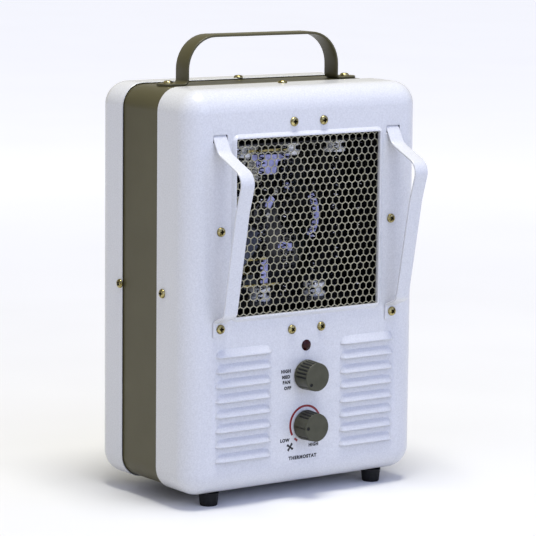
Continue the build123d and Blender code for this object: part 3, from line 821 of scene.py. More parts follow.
def honeycombTree():
    # a sheared grid of equilateral triangles, whose dual is the honeycomb;
    # each cell is then opened and the web given its thickness
    weld = 0.00001
    tree, names, start, end = newTree("honeycomb", (
        ("Geometry", "NodeSocketGeometry"), ("Pitch", "NodeSocketFloat"), ("Strand", "NodeSocketFloat"),
        ("Sheet", "NodeSocketFloat"), ("Width", "NodeSocketFloat"), ("Rows", "NodeSocketInt"),
        ("Columns", "NodeSocketInt"), ("Corner", "NodeSocketVector")))

    def maths(operation, first, second=None):
        node = addNode(tree, "ShaderNodeMath", operation=operation)
        for index, value in enumerate((first, second)):
            if value is None:
                continue
            if isinstance(value, (int, float)):
                node.inputs[index].default_value = value
            else:
                join(tree, value, node.inputs[index])
        return node.outputs[0]

    pitch = start.outputs["Pitch"]
    grid = addNode(tree, "GeometryNodeMeshGrid", {"Size X": 1.0, "Size Y": 1.0})
    join(tree, start.outputs["Columns"], grid.inputs["Vertices X"])
    join(tree, start.outputs["Rows"], grid.inputs["Vertices Y"])
    index = addNode(tree, "GeometryNodeInputIndex").outputs[0]
    column = maths("FLOOR", maths("DIVIDE", maths("ADD", index, 0.5), start.outputs["Rows"]))
    row = maths("SUBTRACT", index, maths("MULTIPLY", column, start.outputs["Rows"]))
    across = maths("MULTIPLY", maths("ADD", column, maths("MULTIPLY", row, 0.5)), pitch)
    up = maths("MULTIPLY", row, maths("MULTIPLY", pitch, math.sqrt(3) / 2))
    spot = addNode(tree, "ShaderNodeCombineXYZ")
    join(tree, across, spot.inputs[0])
    join(tree, up, spot.inputs[2])
    place = addNode(tree, "GeometryNodeSetPosition")
    shift = addNode(tree, "ShaderNodeVectorMath", operation="ADD")
    join(tree, spot.outputs[0], shift.inputs[0])
    join(tree, start.outputs["Corner"], shift.inputs[1])
    join(tree, grid.outputs[0], place.inputs["Geometry"])
    join(tree, shift.outputs[0], place.inputs["Position"])
    triangles = addNode(tree, "GeometryNodeTriangulate", quad_method="SHORTEST_DIAGONAL")
    dual = addNode(tree, "GeometryNodeDualMesh")
    join(tree, place.outputs[0], triangles.inputs[0])
    join(tree, triangles.outputs[0], dual.inputs[0])
    position = addNode(tree, "GeometryNodeInputPosition")
    parts = addNode(tree, "ShaderNodeSeparateXYZ")
    join(tree, position.outputs[0], parts.inputs[0])
    outside = addNode(tree, "FunctionNodeCompare", data_type="FLOAT", operation="GREATER_THAN")
    join(tree, maths("ABSOLUTE", parts.outputs[0]), outside.inputs[0])
    join(tree, maths("MULTIPLY", start.outputs["Width"], 0.5), outside.inputs[1])
    trim = addNode(tree, "GeometryNodeDeleteGeometry", domain="FACE")
    join(tree, dual.outputs[0], trim.inputs["Geometry"])
    join(tree, outside.outputs[0], trim.inputs["Selection"])
    cells = addNode(tree, "GeometryNodeExtrudeMesh", {"Offset Scale": 0.0, "Individual": True}, mode="FACES")
    shrink = addNode(tree, "GeometryNodeScaleElements", domain="FACE")
    join(tree, trim.outputs[0], cells.inputs["Mesh"])
    join(tree, cells.outputs["Mesh"], shrink.inputs["Geometry"])
    join(tree, cells.outputs["Top"], shrink.inputs["Selection"])
    opening = maths("SUBTRACT", 1.0, maths("DIVIDE", start.outputs["Strand"], pitch))
    join(tree, opening, shrink.inputs["Scale"])
    holes = addNode(tree, "GeometryNodeDeleteGeometry", domain="FACE")
    join(tree, shrink.outputs[0], holes.inputs["Geometry"])
    join(tree, cells.outputs["Top"], holes.inputs["Selection"])
    web = addNode(tree, "GeometryNodeMergeByDistance", {"Distance": weld})
    join(tree, holes.outputs[0], web.inputs[0])
    wall = addNode(tree, "GeometryNodeExtrudeMesh", {"Offset Scale": 1.0, "Individual": False}, mode="FACES")
    backwards = addNode(tree, "ShaderNodeCombineXYZ")
    join(tree, start.outputs["Sheet"], backwards.inputs[1])
    join(tree, web.outputs[0], wall.inputs["Mesh"])
    join(tree, backwards.outputs[0], wall.inputs["Offset"])
    both = addNode(tree, "GeometryNodeJoinGeometry")
    join(tree, web.outputs[0], both.inputs[0])
    join(tree, wall.outputs["Mesh"], both.inputs[0])
    closed = addNode(tree, "GeometryNodeMergeByDistance", {"Distance": weld})
    join(tree, both.outputs[0], closed.inputs[0])
    closeTree(tree, closed.outputs[0], "grilleEnamel", end)
    return tree, names


def outletGrille():
    look = grilleLook
    span = 2 * window["half"] + 2 * look["margin"]
    rise = look["pitch"] * math.sqrt(3) / 2
    rows = int(span / rise) + look["spare"]
    columns = int(span / look["pitch"] + rows / 2) + look["spare"]
    left = -(math.floor(span / 2 / look["pitch"]) + math.ceil(rows / 2) + 1) * look["pitch"]
    tree, names = honeycombTree()
    host = pointHost("grilleHost", [(at(0, 0, 0), (0, 0, 1))])
    values = {"Pitch": look["pitch"] * mm, "Strand": look["strand"] * mm, "Sheet": look["sheet"] * mm,
              "Width": span * mm, "Rows": rows, "Columns": columns + math.ceil(rows / 2),
              "Corner": at(left, look["near"], window["middle"] - (rows - 1) * rise / 2)}
    mesh = meshFromTree(host, tree, names, values)
    bm = bmesh.new()
    bm.from_mesh(mesh)
    outwards(bm, 0.001)
    print("grille faces", len(bm.faces))
    meshPiece("honeycombGrille", bm, "grilleEnamel", 40, ["outlet_grille"])


outletGrille()
print("grille made")


knobLook = {
    "base": 13.4, "face": 12.6, "length": 17.0, "standOff": 0.8, "undercut": 0.35, "turns": 240,
    "levels": (0, 0.03, 0.10, 0.13, 0.16, 0.20, 0.5, 0.86, 0.90, 0.93, 0.955),
    "rim": ((0.12, 0.45), (0.35, 0.15), (0.7, 0.02), (1.1, 0.0), (1.3, 0.12), (1.6, 0.16)),
    "flutes": 24, "groove": 1.0, "grooveFrom": 0.10, "grooveTo": 0.985, "fadeIn": 0.10, "fadeOut": 0.06,
    "smooth": 34.0, "ease": 6, "pointer": 1.8, "pointerDepth": 0.7, "paintedShadeStrength": 1.25,
    "dimple": 1.75, "dimpleAt": 9.3, "dimpleRings": ((0.86, 0.35), (0.68, 0.75), (0.42, 1.0)),
    "recess": 10.2, "recessDepth": 4.4,
}


def grooveAt(turn, level):
    # how deep the grip is cut at an angle from the pointer and a height from 0 at the base to 1 at the face
    look = knobLook
    fadeIn = min(max((level - look["grooveFrom"]) / look["fadeIn"], 0), 1)
    fade = fadeIn * min(max((look["grooveTo"] - level) / look["fadeOut"], 0), 1)
    off = abs((math.degrees(turn) + 180) % 360 - 180)
    if off < look["smooth"]:
        return look["pointerDepth"] * math.exp(-(off / look["pointer"]) ** 2) * fade
    wave = 0.5 + 0.5 * math.cos(math.radians(off) * look["flutes"])
    ease = min((off - look["smooth"]) / look["ease"], 1)
    return look["groove"] * wave ** 1.5 * fade * ease


def knobMesh(place):
    look = knobLook
    bm = bmesh.new()
    # painted shade: the grooves, the pointer's notch and the dimple are darkened by this layer, the deeper
    # cuts darker
    paintedShade = bm.verts.layers.float.new("paintedShade")
    steps = look["turns"]
    levels = look["levels"]

    def placedRing(x, radius, height, corners):
        return [bm.verts.new(place @ (Vector((x + across, up, height)) * mm))
                for across, up in circleRing(0, 0, radius, corners)]

    rings = []
    for level in levels:
        reach = look["base"] + (look["face"] - look["base"]) * level - (look["undercut"] if level == 0 else 0)
        rings.append([(reach - grooveAt(2 * math.pi * step / steps, level), level * look["length"])
                      for step in range(steps)])
    for inset, drop in look["rim"]:
        rings.append([(look["face"] - inset, look["length"] - drop)] * steps)
    verts = []
    for level, ring in enumerate(rings):
        row = []
        for step, (radius, height) in enumerate(ring):
            turn = 2 * math.pi * step / steps
            spot = Vector((radius * math.cos(turn), radius * math.sin(turn), height))
            vertex = bm.verts.new(place @ (spot * mm))
            if level < len(levels):
                vertex[paintedShade] = min(grooveAt(turn, levels[level]) / look["groove"] * look["paintedShadeStrength"], 1)
            row.append(vertex)
        verts.append(row)
    for first, second in zip(verts, verts[1:]):
        bridge(bm, first, second)
    top = look["length"] - look["rim"][-1][1]
    last = placedRing(look["dimpleAt"], look["dimple"], top, 24)
    fillFlat(bm, [verts[-1], last], place.to_3x3() @ Vector((0, 0, 1)))
    for share, depth in look["dimpleRings"]:
        ring = placedRing(look["dimpleAt"], look["dimple"] * share, top - depth, 24)
        for vertex in ring:
            vertex[paintedShade] = 1
        bridge(bm, last, ring)
        last = ring
    bm.faces.new(last)
    mouth = placedRing(0, look["recess"], 0, steps)
    bridge(bm, mouth, verts[0])
    roof = placedRing(0, look["recess"], look["recessDepth"], steps)
    bridge(bm, roof, mouth)
    bm.faces.new(roof)
    outwards(bm, 0.001)
    return bm


def controlKnob(name, node, body, angle):
    # the pointer's angle runs clockwise from nine o'clock, as the user sees it
    low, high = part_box(node)
    z = (low[2] + high[2]) / 2 / mm
    turn = math.radians(180 - angle)
    pointer = Vector((math.cos(turn), 0, math.sin(turn)))
    axis = Vector((0, -1, 0))
    side = axis.cross(pointer)
    turned = Matrix((pointer, side, axis)).transposed().to_4x4()
    place = Matrix.Translation(at(0, -knobLook["standOff"], z)) @ turned
    meshPiece(name, knobMesh(place), "taupeKnobPlastic", 28, [node], body)


pilotLook = {
    "profile": ((4.9, 0.0), (4.9, 0.5), (4.7, 0.75), (4.2, 0.8), (4.1, 1.0), (3.7, 1.7), (2.8, 2.3),
                (1.5, 2.65), (0, 2.75)),
}


def pilotDome():
    low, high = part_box("pilot_lens")
    z = (low[2] + high[2]) / 2 / mm
    reach = (panelY - low[1]) / mm / pilotLook["profile"][-1][1]
    bm = bmesh.new()
    profile = [(radius, height * reach) for radius, height in pilotLook["profile"]]
    lathe(bm, [(0, 0.0)] + profile, facing(0, 0, z, (0, -1, 0)), 40)
    outwards(bm, 0.001)
    meshPiece("pilotDome", bm, "redLens", 50, ["pilot_lens"])


controlKnob("modeKnobGrip", "mode_knob", "mode_control", -45)
controlKnob("thermostatKnobGrip", "thermostat_knob", "thermostat_control", 0)
pilotDome()
print("controls made")


coilLook = {
    "turns": 34.0, "radius": 2.9, "wire": 0.55, "perTurn": 9, "height": 139.0,
    "columns": (-66.0, -40.0, -15.0, 15.0, 40.0, 66.0), "depths": (14.0, 46.0),
}
insulatorLook = {
    "top": (-50.0, 0.0, 50.0), "bottom": (-30.0, 30.0), "rail": 70.0, "depth": 30.0,
    "profile": ((0, 0), (9.4, 0), (10.0, 0.6), (10.0, 3.4), (9.4, 4.0), (7.2, 4.3), (6.5, 5.0), (6.5, 7.0),
                (7.2, 7.7), (9.4, 8.0), (10.0, 8.6), (10.0, 11.4), (9.4, 12.0), (3.4, 12.0), (3.0, 11.4),
                (3.0, 8.0), (0, 8.0)),
}
supportLook = {
    "near": 19.0, "sheet": 0.8, "barProud": 2,
    "bars": ((-52.0, -11.0, 308.4, 1.9), (-52.0, -30.5, 213.5, 1.7), (-56.0, -18.5, 190.4, 1.7)),
    "plates": (((-48, 305), (-7, 303.6), (-8, 299.6), (-19, 298),
                (-21.5, 287), (-40, 287.3), (-42, 298), (-47, 300)),
               ((-36.5, 212.5), (-36.5, 191.4), (-28.8, 191.4), (-28.8, 212.5))),
}
hubRingLook = {
    "depth": 30.0, "inner": 24.0, "outer": 30.5, "x": 4.0, "z": 247.0, "steps": 16,
    "runs": ((-44, 42), (-118, -88), (97, 106), (138, 160)),
}


def coilTree():
    # a wound wire of the given radius and turns
    tree, names, start, end = newTree("coil", (
        ("Geometry", "NodeSocketGeometry"), ("Turns", "NodeSocketFloat"), ("Radius", "NodeSocketFloat"),
        ("Wire", "NodeSocketFloat"), ("Height", "NodeSocketFloat"), ("Resolution", "NodeSocketInt")))
    spiral = addNode(tree, "GeometryNodeCurveSpiral")
    wire = addNode(tree, "GeometryNodeCurvePrimitiveCircle", {"Resolution": 6}, mode="RADIUS")
    skin = addNode(tree, "GeometryNodeCurveToMesh", {"Fill Caps": True})
    join(tree, start.outputs["Turns"], spiral.inputs["Rotations"])
    join(tree, start.outputs["Radius"], spiral.inputs["Start Radius"])
    join(tree, start.outputs["Radius"], spiral.inputs["End Radius"])
    join(tree, start.outputs["Height"], spiral.inputs["Height"])
    join(tree, start.outputs["Resolution"], spiral.inputs["Resolution"])
    join(tree, start.outputs["Wire"], wire.inputs["Radius"])
    join(tree, spiral.outputs[0], skin.inputs["Curve"])
    join(tree, wire.outputs[0], skin.inputs["Profile Curve"])
    closeTree(tree, skin.outputs[0], "paintedGlintWire", end)
    return tree, names


def heatingCoils():
    look = coilLook
    tree, names = coilTree()
    host = pointHost("coilHost", [(Vector((0, 0, 0)), (0, 0, 1))])
    values = {"Turns": look["turns"], "Radius": look["radius"] * mm, "Wire": look["wire"] * mm,
              "Height": look["height"] * mm, "Resolution": look["perTurn"]}
    coil = bpy.data.objects.new("coil", meshFromTree(host, tree, names, values))
    foot = window["middle"] - look["height"] / 2
    places = [(at(x, depth, foot), (0, 0, 1)) for depth in look["depths"] for x in look["columns"]]
    wound = copiesOf("heatingCoils", coil, places, "paintedGlintWire")
    finishPiece("coiledWires", wound, "paintedGlintWire", 60, ["heating_coils"])


def ceramicInsulators():
    look = insulatorLook
    bm = bmesh.new()
    lathe(bm, look["profile"], Matrix.Identity(4), 28)
    outwards(bm, 0.001)
    spool = patternObject("insulatorSpool", bm)
    places = [(at(x, look["depth"], window["middle"] + look["rail"]), (0, 0, -1)) for x in look["top"]]
    places += [(at(x, look["depth"], window["middle"] - look["rail"]), (0, 0, 1)) for x in look["bottom"]]
    spools = copiesOf("insulators", spool, places, "glazedSteatite")
    finishPiece("insulatorSpools", spools, "glazedSteatite", 40, ["ceramic_insulators"])


def plateInto(bm, outline, near, sheet):
    # a flat plate from its outline in the front view
    front = [bm.verts.new(at(x, near, z)) for x, z in outline]
    back = [bm.verts.new(at(x, near + sheet, z)) for x, z in outline]
    bridge(bm, front, back)
    bm.faces.new(front)
    bm.faces.new(list(reversed(back)))


def elementSupports():
    # bright plated bars, and plates that carry the wires, whose pale blue is a painted reflection of bluish
    # light
    look = supportLook
    bars, plates = bmesh.new(), bmesh.new()
    for low, high, z, rise in look["bars"]:
        outline = ((low, z - rise / 2), (high, z - rise / 2), (high, z + rise / 2), (low, z + rise / 2))
        plateInto(bars, outline, look["near"] - look["barProud"], look["sheet"] + look["barProud"])
    for outline in look["plates"]:
        plateInto(plates, outline, look["near"], look["sheet"])
    ring = hubRingLook
    for start, end in ring["runs"]:
        steps = ring["steps"]
        turns = [math.radians(start + (end - start) * step / steps) for step in range(steps + 1)]
        corners = [(ring["outer"], turn) for turn in turns]
        corners += [(ring["inner"], turn) for turn in reversed(turns)]
        outline = [(ring["x"] + radius * math.cos(turn), ring["z"] + radius * math.sin(turn))
                   for radius, turn in corners]
        plateInto(plates, outline, ring["depth"], look["sheet"])
    for bm in (bars, plates):
        outwards(bm, 0.001)
    meshPiece("elementBars", bars, "yellowZinc", 30)
    meshPiece("elementPlates", plates, "paintedReflectionSheet", 30)


heatingCoils()
ceramicInsulators()
elementSupports()
print("element made")


fanLook = {
    "radius": 66.0, "root": 10.0, "blades": 5, "stations": 12, "across": 10, "sheet": 1.2, "depth": 71.0,
    "chord": 46.0, "rootShare": 0.62, "fullAt": 9, "tipTrim": 0.10,
    "pitch": 32.0, "rootPitch": 1.15, "washout": 0.3, "camber": 4.0,
    "hub": ((2.5, -8), (13.5, -8), (15, -6.5), (15, 6.0), (13.5, 8), (6.0, 8), (5.5, 9.5), (2.5, 9.5),
            (2.5, -8)),
}
rearGuardLook = {
    "rings": (16.0, 31.0, 46.0, 61.0, 76.0), "wire": 1.2, "spokes": 8, "spokeFrom": 3, "setIn": 1.2,
}


def bladePattern():
    # one pitched and cambered blade along +X, its axle along Z
    look = fanLook
    bm = bmesh.new()
    rows = []
    for out in range(look["stations"] + 1):
        radius = look["root"] + (look["radius"] - look["root"]) * out / look["stations"]
        widening = math.sin(math.pi * min(out / look["fullAt"], 1) / 2)
        chord = look["chord"] * (look["rootShare"] + (1 - look["rootShare"]) * widening)
        if out > look["fullAt"]:
            chord *= 1 - look["tipTrim"] * (out - look["fullAt"])
        pitch = math.radians(look["pitch"] * (look["rootPitch"] - look["washout"] * out / look["stations"]))
        row = []
        for across in range(look["across"] + 1):
            u = across / look["across"] - 0.5
            span = u * chord
            lift = look["camber"] * (0.25 - u * u) * 2
            y = span * math.cos(pitch) - lift * math.sin(pitch)
            z = span * math.sin(pitch) + lift * math.cos(pitch)
            turn = y / radius
            row.append(bm.verts.new((radius * math.cos(turn) * mm, radius * math.sin(turn) * mm, z * mm)))
        rows.append(row)
    for first, second in zip(rows, rows[1:]):
        bridge(bm, first, second, closed=False)
    outwards(bm, 0.001)
    bmesh.ops.solidify(bm, geom=list(bm.faces), thickness=look["sheet"] * mm)
    return bm


def fanWheel():
    look = fanLook
    blade = bladePattern()
    bladeMesh = bpy.data.meshes.new("blade")
    blade.to_mesh(bladeMesh)
    blade.free()
    bm = bmesh.new()
    for number in range(look["blades"]):
        turned = bladeMesh.copy()
        turned.transform(Matrix.Rotation(2 * math.pi * number / look["blades"], 4, "Z"))
        bm.from_mesh(turned)
    lathe(bm, look["hub"], Matrix.Identity(4), 40)
    place = facing(0, look["depth"], window["middle"], (0, -1, 0))
    bmesh.ops.transform(bm, matrix=place, verts=bm.verts)
    bmesh.ops.recalc_face_normals(bm, faces=bm.faces)
    meshPiece("fanWheel", bm, "fanSteelPaintedShade", 35, ["fan_blade"], "fan")


def wireGuardTree():
    # a ring of wire for each point, as large as the point's own radius
    sockets = (("Points", "NodeSocketGeometry"), ("Wire", "NodeSocketFloat"))
    tree, names, start, end = newTree("wireGuard", sockets)
    radius = addNode(tree, "GeometryNodeInputNamedAttribute", {"Name": "radius"}, data_type="FLOAT")
    unit = {"Resolution": 96, "Radius": 1.0}
    circle = addNode(tree, "GeometryNodeCurvePrimitiveCircle", unit, mode="RADIUS")
    rings = addNode(tree, "GeometryNodeInstanceOnPoints")
    loose = addNode(tree, "GeometryNodeRealizeInstances")
    wire = addNode(tree, "GeometryNodeCurvePrimitiveCircle", {"Resolution": 10}, mode="RADIUS")
    skin = addNode(tree, "GeometryNodeCurveToMesh", {"Fill Caps": True})
    join(tree, start.outputs["Points"], rings.inputs["Points"])
    join(tree, circle.outputs[0], rings.inputs["Instance"])
    join(tree, radius.outputs[0], rings.inputs["Scale"])
    join(tree, rings.outputs[0], loose.inputs[0])
    join(tree, loose.outputs[0], skin.inputs["Curve"])
    join(tree, start.outputs["Wire"], wire.inputs["Radius"])
    join(tree, wire.outputs[0], skin.inputs["Profile Curve"])
    closeTree(tree, skin.outputs[0], "taupeEnamel", end)
    return tree, names


def rearGuard():
    look = rearGuardLook
    depth = backDepth - look["setIn"] - look["wire"]
    mesh = bpy.data.meshes.new("rings")
    mesh.from_pydata([(0, 0, 0)] * len(look["rings"]), [], [])
    sizes = mesh.attributes.new("radius", "FLOAT", "POINT")
    for index, radius in enumerate(look["rings"]):
        sizes.data[index].value = radius * mm
    host = bpy.data.objects.new("ringHost", mesh)
    bpy.context.collection.objects.link(host)
    tree, names = wireGuardTree()
    bm = bmesh.new()
    bm.from_mesh(meshFromTree(host, tree, names, {"Wire": look["wire"] * mm}))
    for number in range(look["spokes"]):
        turn = Matrix.Rotation(2 * math.pi * number / look["spokes"], 4, "Z")
        inner, outer = -look["spokeFrom"], -look["rings"][-1]
        spoke = [(0, inner), (look["wire"], inner), (look["wire"], outer), (0, outer)]
        lathe(bm, spoke, turn @ Matrix.Rotation(math.radians(90), 4, "Y"), 10)
    bmesh.ops.transform(bm, matrix=facing(0, depth, window["middle"], (0, -1, 0)), verts=bm.verts)
    bmesh.ops.recalc_face_normals(bm, faces=bm.faces)
    meshPiece("rearWireGuard", bm, "taupeEnamel", 50, ["rear_guard"])


shadeScreenLook = {"radius": 73.0, "pitch": 1.35, "wire": 0.82, "sides": 5, "nesting": 0.8}


def dustScreen():
    # fine black wire, crossing at right angles, just inside the rear guard: a dark screen put there as
    # painted shade, keeping the light from behind out of the casing
    look = shadeScreenLook
    depth = backDepth - rearGuardLook["setIn"] - 2 * rearGuardLook["wire"] - look["wire"]
    bm = bmesh.new()
    rows = int(look["radius"] / look["pitch"])
    for across in (0, 1):
        for row in range(-rows, rows + 1):
            offset = row * look["pitch"]
            half = math.sqrt(look["radius"] ** 2 - offset ** 2)
            rings = []
            for end in (-half, half):
                ring = []
                for side in range(look["sides"]):
                    turn = 2 * math.pi * side / look["sides"]
                    a = offset + look["wire"] / 2 * math.cos(turn)
                    back = depth + look["wire"] / 2 * math.sin(turn) - across * look["wire"] * look["nesting"]
                    x, z = (a, end) if across else (end, a)
                    ring.append(bm.verts.new(at(x, back, window["middle"] + z)))
                rings.append(ring)
            bridge(bm, *rings)
            bm.faces.new(rings[0])
            bm.faces.new(rings[1])
    bmesh.ops.recalc_face_normals(bm, faces=bm.faces)
    meshPiece("dustScreen", bm, "blackPhenolic", 80)


fanWheel()
rearGuard()
dustScreen()
print("fan and rear guard made")


footLook = {
    "profile": ((4.4, 5.0), (4.4, 0.4), (4.8, 0.0), (7.2, 0.0), (7.7, 0.5), (7.85, 1.6), (8.9, 10.8),
                (9.0, 11.5), (0, 11.5), (0, 5.0), (4.4, 5.0)),
    "frontX": 89.0, "rearX": 56.0, "inset": 20.0,
}
glandLook = {
    "profile": ((4.0, -5.2), (9.0, -5.2), (9.5, -4.7), (9.5, -1.2), (8.0, -1.2), (8.0, 0), (10.5, 0),
                (10.5, 1.6), (10.1, 2.0), (7.0, 2.0), (7.0, 5.4), (6.4, 6.0), (4.6, 6.0), (4.0, 5.4),
                (4.0, -5.2)),
}


def rubberFeet():
    bm = bmesh.new()
    lathe(bm, footLook["profile"], Matrix.Identity(4), 40)
    outwards(bm, 0.001)
    foot = patternObject("foot", bm)
    rows = ((footLook["frontX"], footLook["inset"]), (footLook["rearX"], backDepth - footLook["inset"]))
    places = [(at(side * x, depth, 0), (0, 0, 1)) for side in (-1, 1) for x, depth in rows]
    mesh = copiesOf("rubberFeet", foot, places, "blackRubber")
    finishPiece("taperedFeet", mesh, "blackRubber", 35, ["feet"])


def cordGland():
    bm = bmesh.new()
    lathe(bm, glandLook["profile"], facing(glandX, backDepth, glandZ, (0, 1, 0)), 40)
    outwards(bm, 0.001)
    meshPiece("glandBush", bm, "blackPhenolic", 35, ["cord_gland"])


rubberFeet()
cordGland()
print("feet and gland made")


printLook = {"proud": 0.04, "thick": 0.05, "stroke": 0.27, "spacing": 1.2, "capShare": 0.69}
dialWords = (
    ("printHigh", "HIGH", -16.4, 114.7, 2.65, "RIGHT"), ("printMed", "MED", -17.2, 109.6, 2.65, "RIGHT"),
    ("printFan", "FAN", -16.9, 104.9, 2.65, "RIGHT"), ("printOff", "OFF", -15.9, 99.6, 2.65, "RIGHT"),
    ("printLow", "LOW", -22.2, 52.9, 2.65, "CENTER"), ("printHot", "HIGH", 9.2, 46.2, 2.65, "CENTER"),
    ("printThermostat", "THERMOSTAT", -2.6, 36.3, 2.85, "CENTER"),
)
arcLook = {
    "radius": 16.4, "width": 2.0, "centreZ": 65.6, "stepDegrees": 4.0,
    "runs": ((-31.5, 243.0), (-59.0, -45.0)),
}
vaneLook = {"x": -16.4, "z": 46.6, "length": 3.7, "root": 0.6, "tip": 1.9, "crown": 1.08, "heel": 0.9}


def printedWord(name, words, x, z, capHeight, align):
    curve = bpy.data.curves.new(name, "FONT")
    curve.body = words
    curve.size = capHeight / printLook["capShare"] * mm
    curve.align_x = align
    curve.align_y = "CENTER"
    curve.extrude = printLook["thick"] / 2 * mm
    curve.offset = printLook["stroke"] * mm
    curve.space_character = printLook["spacing"]
    host = bpy.data.objects.new(name, curve)
    bpy.context.collection.objects.link(host)
    graph = bpy.context.evaluated_depsgraph_get()
    graph.update()
    mesh = bpy.data.meshes.new_from_object(host.evaluated_get(graph), depsgraph=graph)
    bpy.data.objects.remove(host)
    upright = Matrix.Rotation(math.radians(90), 4, "X")
    mesh.transform(Matrix.Translation(at(x, -printLook["proud"], z)) @ upright)
    finishPiece(name, mesh, "blackInk", 30)


def inkDepths():
    return -printLook["proud"] - printLook["thick"] / 2, -printLook["proud"] + printLook["thick"] / 2


def printedArc(name, fromTurn, toTurn):
    # a band about the thermostat's centre; turns run clockwise from nine o'clock
    look = arcLook
    steps = max(int(abs(toTurn - fromTurn) / look["stepDegrees"]), 3)
    turns = [math.radians(180 - fromTurn - (toTurn - fromTurn) * step / steps) for step in range(steps + 1)]
    near, far = inkDepths()
    inner, outer = look["radius"] - look["width"] / 2, look["radius"] + look["width"] / 2
    bm = bmesh.new()
    rings = []
    for depth, radius in ((near, inner), (near, outer), (far, inner), (far, outer)):
        outline = [(radius * math.cos(turn), look["centreZ"] + radius * math.sin(turn)) for turn in turns]
        rings.append(addRing(bm, outline, depth))
    frontInner, frontOuter, backInner, backOuter = rings
    around = (frontInner, frontOuter, backOuter, backInner, frontInner)
    for first, second in zip(around, around[1:]):
        bridge(bm, first, second, closed=False)
    for end in (0, -1):
        bm.faces.new((frontInner[end], frontOuter[end], backOuter[end], backInner[end]))
    outwards(bm, 0.0001)
    meshPiece(name, bm, "redInk", 40)


def printedVanes():
    # the little four-bladed sign by the coolest setting
    look = vaneLook
    bm = bmesh.new()
    for number in range(4):
        turn = math.radians(45 + 90 * number)
        along = Vector((math.cos(turn), math.sin(turn)))
        side = Vector((-along.y, along.x))
        reach = along * look["length"]
        corners = (side * look["root"], reach + side * look["tip"], reach * look["crown"],
                   reach * look["heel"] - side * look["root"], -side * look["root"])
        outline = [(look["x"] + corner.x, look["z"] + corner.y) for corner in corners]
        plateInto(bm, outline, inkDepths()[0], printLook["thick"])
    outwards(bm, 0.0001)
    meshPiece("printVanes", bm, "blackInk", 30)


for wordName, words, wordX, wordZ, wordHeight, wordAlign in dialWords:
    printedWord(wordName, words, wordX, wordZ, wordHeight, wordAlign)
for arcNumber, (arcFrom, arcTo) in enumerate(arcLook["runs"]):
    printedArc("printArc" + str(arcNumber), arcFrom, arcTo)
printedVanes()
print("dial prints made")


# the sheet parts inside the casing take a near-black painted shade
nodeFinishes = {
    "element_duct": "paintedShadeSheet", "element_frame": "paintedShadeSheet", "thermal_cutout": "blackPhenolic",
    "fan_shroud": "paintedShadeSheet", "control_shelf": "paintedShadeSheet", "motor_shaft": "turnedSteel",
    "motor_rotor": "laminations", "motor_stator": "laminations", "motor_coil": "windingTape",
    "motor_bearings": "sinteredBronze", "motor_bracket": "paintedShadeSheet", "mode_switch_shaft": "turnedSteel",
    "mode_switch_body": "blackPhenolic", "mode_switch_nut": "turnedSteel", "thermostat_shaft": "turnedSteel",
    "thermostat_body": "blackPhenolic", "thermostat_nut": "turnedSteel", "pilot_lamp": "blackPhenolic",
    "terminal_block": "glazedSteatite", "tip_switch_case": "blackPhenolic", "tip_pendulum": "turnedSteel",
    "internal_leads": "siliconeLead", "foot_screws": "yellowZinc",
}
for nodeName, finishName in nodeFinishes.items():
    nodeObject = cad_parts[nodeName]
    for nodeSlot in nodeObject.material_slots:
        nodeSlot.material = finishes[finishName]
print("CAD nodes finished")


cameraLook = {
    "azimuth": 35.45, "elevation": 8.36, "roll": 0.59, "distance": 2367.85, "aimX": -42.1, "aimZ": 208.0,
    "lens": 183.5, "sensor": 36.0, "nearest": 0.05,
}
lightLook = {
    "key": {"place": (0.0, -1.9, 0.9), "size": 1.0, "power": 4.0, "colour": (0.62, 0.78, 1.0)},
    "top": {"place": (-0.1, -0.28, 2.2), "size": 0.7, "power": 39.0, "colour": (1.0, 0.98, 0.88)},
}
lightAim = (0, 0, 0.2)
roomLook = {
    "sides": (0.45, 0.435, 0.375), "front": (0.67, 0.755, 1.24), "frontFrom": -0.9, "frontTo": 0.2,
    "floorDark": (0.77, 0.77, 0.77), "floorLight": (0.80, 0.80, 0.80), "floorClouds": 3.0, "floorGloss": 0.9,
    "floorHalf": 8, "glow": 0.50, "glowFrom": 0.3, "glowTo": 2.4,
}


def aimedCamera():
    look = cameraLook
    azimuth, elevation, roll = (math.radians(look[key]) for key in ("azimuth", "elevation", "roll"))
    forward = Vector((math.sin(azimuth), math.cos(azimuth), 0)) * math.cos(elevation)
    forward.z = -math.sin(elevation)
    level = Vector((math.cos(azimuth), -math.sin(azimuth), 0))
    upright = level.cross(forward)
    right = level * math.cos(roll) + upright * math.sin(roll)
    up = right.cross(forward)
    data = bpy.data.cameras.new("studioCamera")
    data.lens = look["lens"]
    data.sensor_width = look["sensor"]
    data.clip_start = look["nearest"]
    camera = bpy.data.objects.new("studioCamera", data)
    bpy.context.collection.objects.link(camera)
    place = Matrix((right, up, -forward)).transposed().to_4x4()
    place.translation = at(look["aimX"], 0, look["aimZ"]) - forward * look["distance"] * mm
    camera.matrix_world = place
    bpy.context.scene.camera = camera


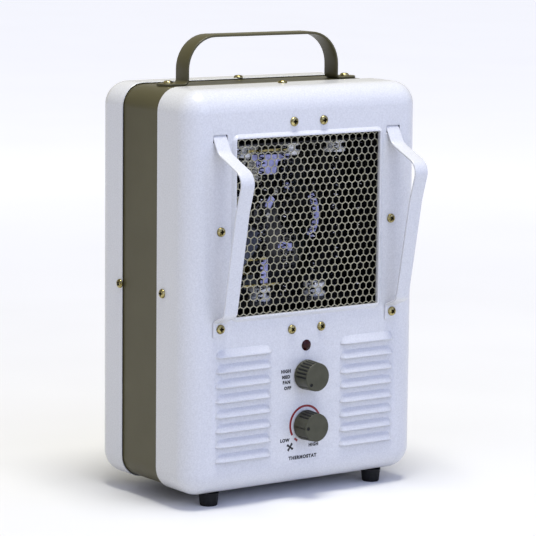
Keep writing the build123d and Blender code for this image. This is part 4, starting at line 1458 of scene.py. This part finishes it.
def softLight(name, look):
    data = bpy.data.lights.new(name, "AREA")
    data.size = look["size"]
    data.energy = look["power"]
    data.color = look["colour"]
    lamp = bpy.data.objects.new(name, data)
    bpy.context.collection.objects.link(lamp)
    lamp.location = look["place"]
    aim = Vector(lightAim) - lamp.location
    lamp.rotation_euler = aim.to_track_quat("-Z", "Y").to_euler()


def paleRoom():
    # the room is bluer and brighter before the object than at its sides
    world = bpy.data.worlds.new("paleRoom")
    bpy.context.scene.world = world
    world.use_nodes = True
    look = roomLook
    room = world.node_tree
    coords = addNode(room, "ShaderNodeTexCoord")
    split = addNode(room, "ShaderNodeSeparateXYZ")
    join(room, coords.outputs["Generated"], split.inputs[0])
    ahead = rangeOf(room, split.outputs["Y"], 1, 0, look["frontFrom"], look["frontTo"])
    light = blendColours(room, ahead, look["sides"], look["front"])
    join(room, light, room.nodes["Background"].inputs[0])


def paleFloor():
    # a floor that glows towards its far edges, so that it meets the room without a line
    look = roomLook
    material, tree, shader = newMaterial("paleFloor")
    vector = objectCoords(tree)
    clouds = rangeOf(tree, noiseOn(tree, vector, look["floorClouds"]), 0, 1)
    tone = blendColours(tree, clouds, look["floorDark"], look["floorLight"])
    join(tree, tone, shader.inputs["Base Color"])
    shader.inputs["Roughness"].default_value = look["floorGloss"]
    shader.inputs["Emission Color"].default_value = (1, 1, 1, 1)
    far = addNode(tree, "ShaderNodeVectorMath", operation="LENGTH")
    join(tree, vector, far.inputs[0])
    glow = rangeOf(tree, far.outputs["Value"], 0, look["glow"], look["glowFrom"], look["glowTo"])
    join(tree, glow, shader.inputs["Emission Strength"])
    half = look["floorHalf"]
    mesh = bpy.data.meshes.new("floor")
    corners = [(x * half, y * half, 0) for x, y in ((-1, -1), (1, -1), (1, 1), (-1, 1))]
    mesh.from_pydata(corners, [], [(0, 1, 2, 3)])
    mesh.materials.append(material)
    floor = bpy.data.objects.new("floor", mesh)
    bpy.context.collection.objects.link(floor)


aimedCamera()
paleRoom()
paleFloor()
for lampName, lampLook in lightLook.items():
    softLight(lampName + "Light", lampLook)
bpy.context.scene.view_settings.view_transform = "Standard"
bpy.context.scene.view_settings.look = "None"
print("studio made")
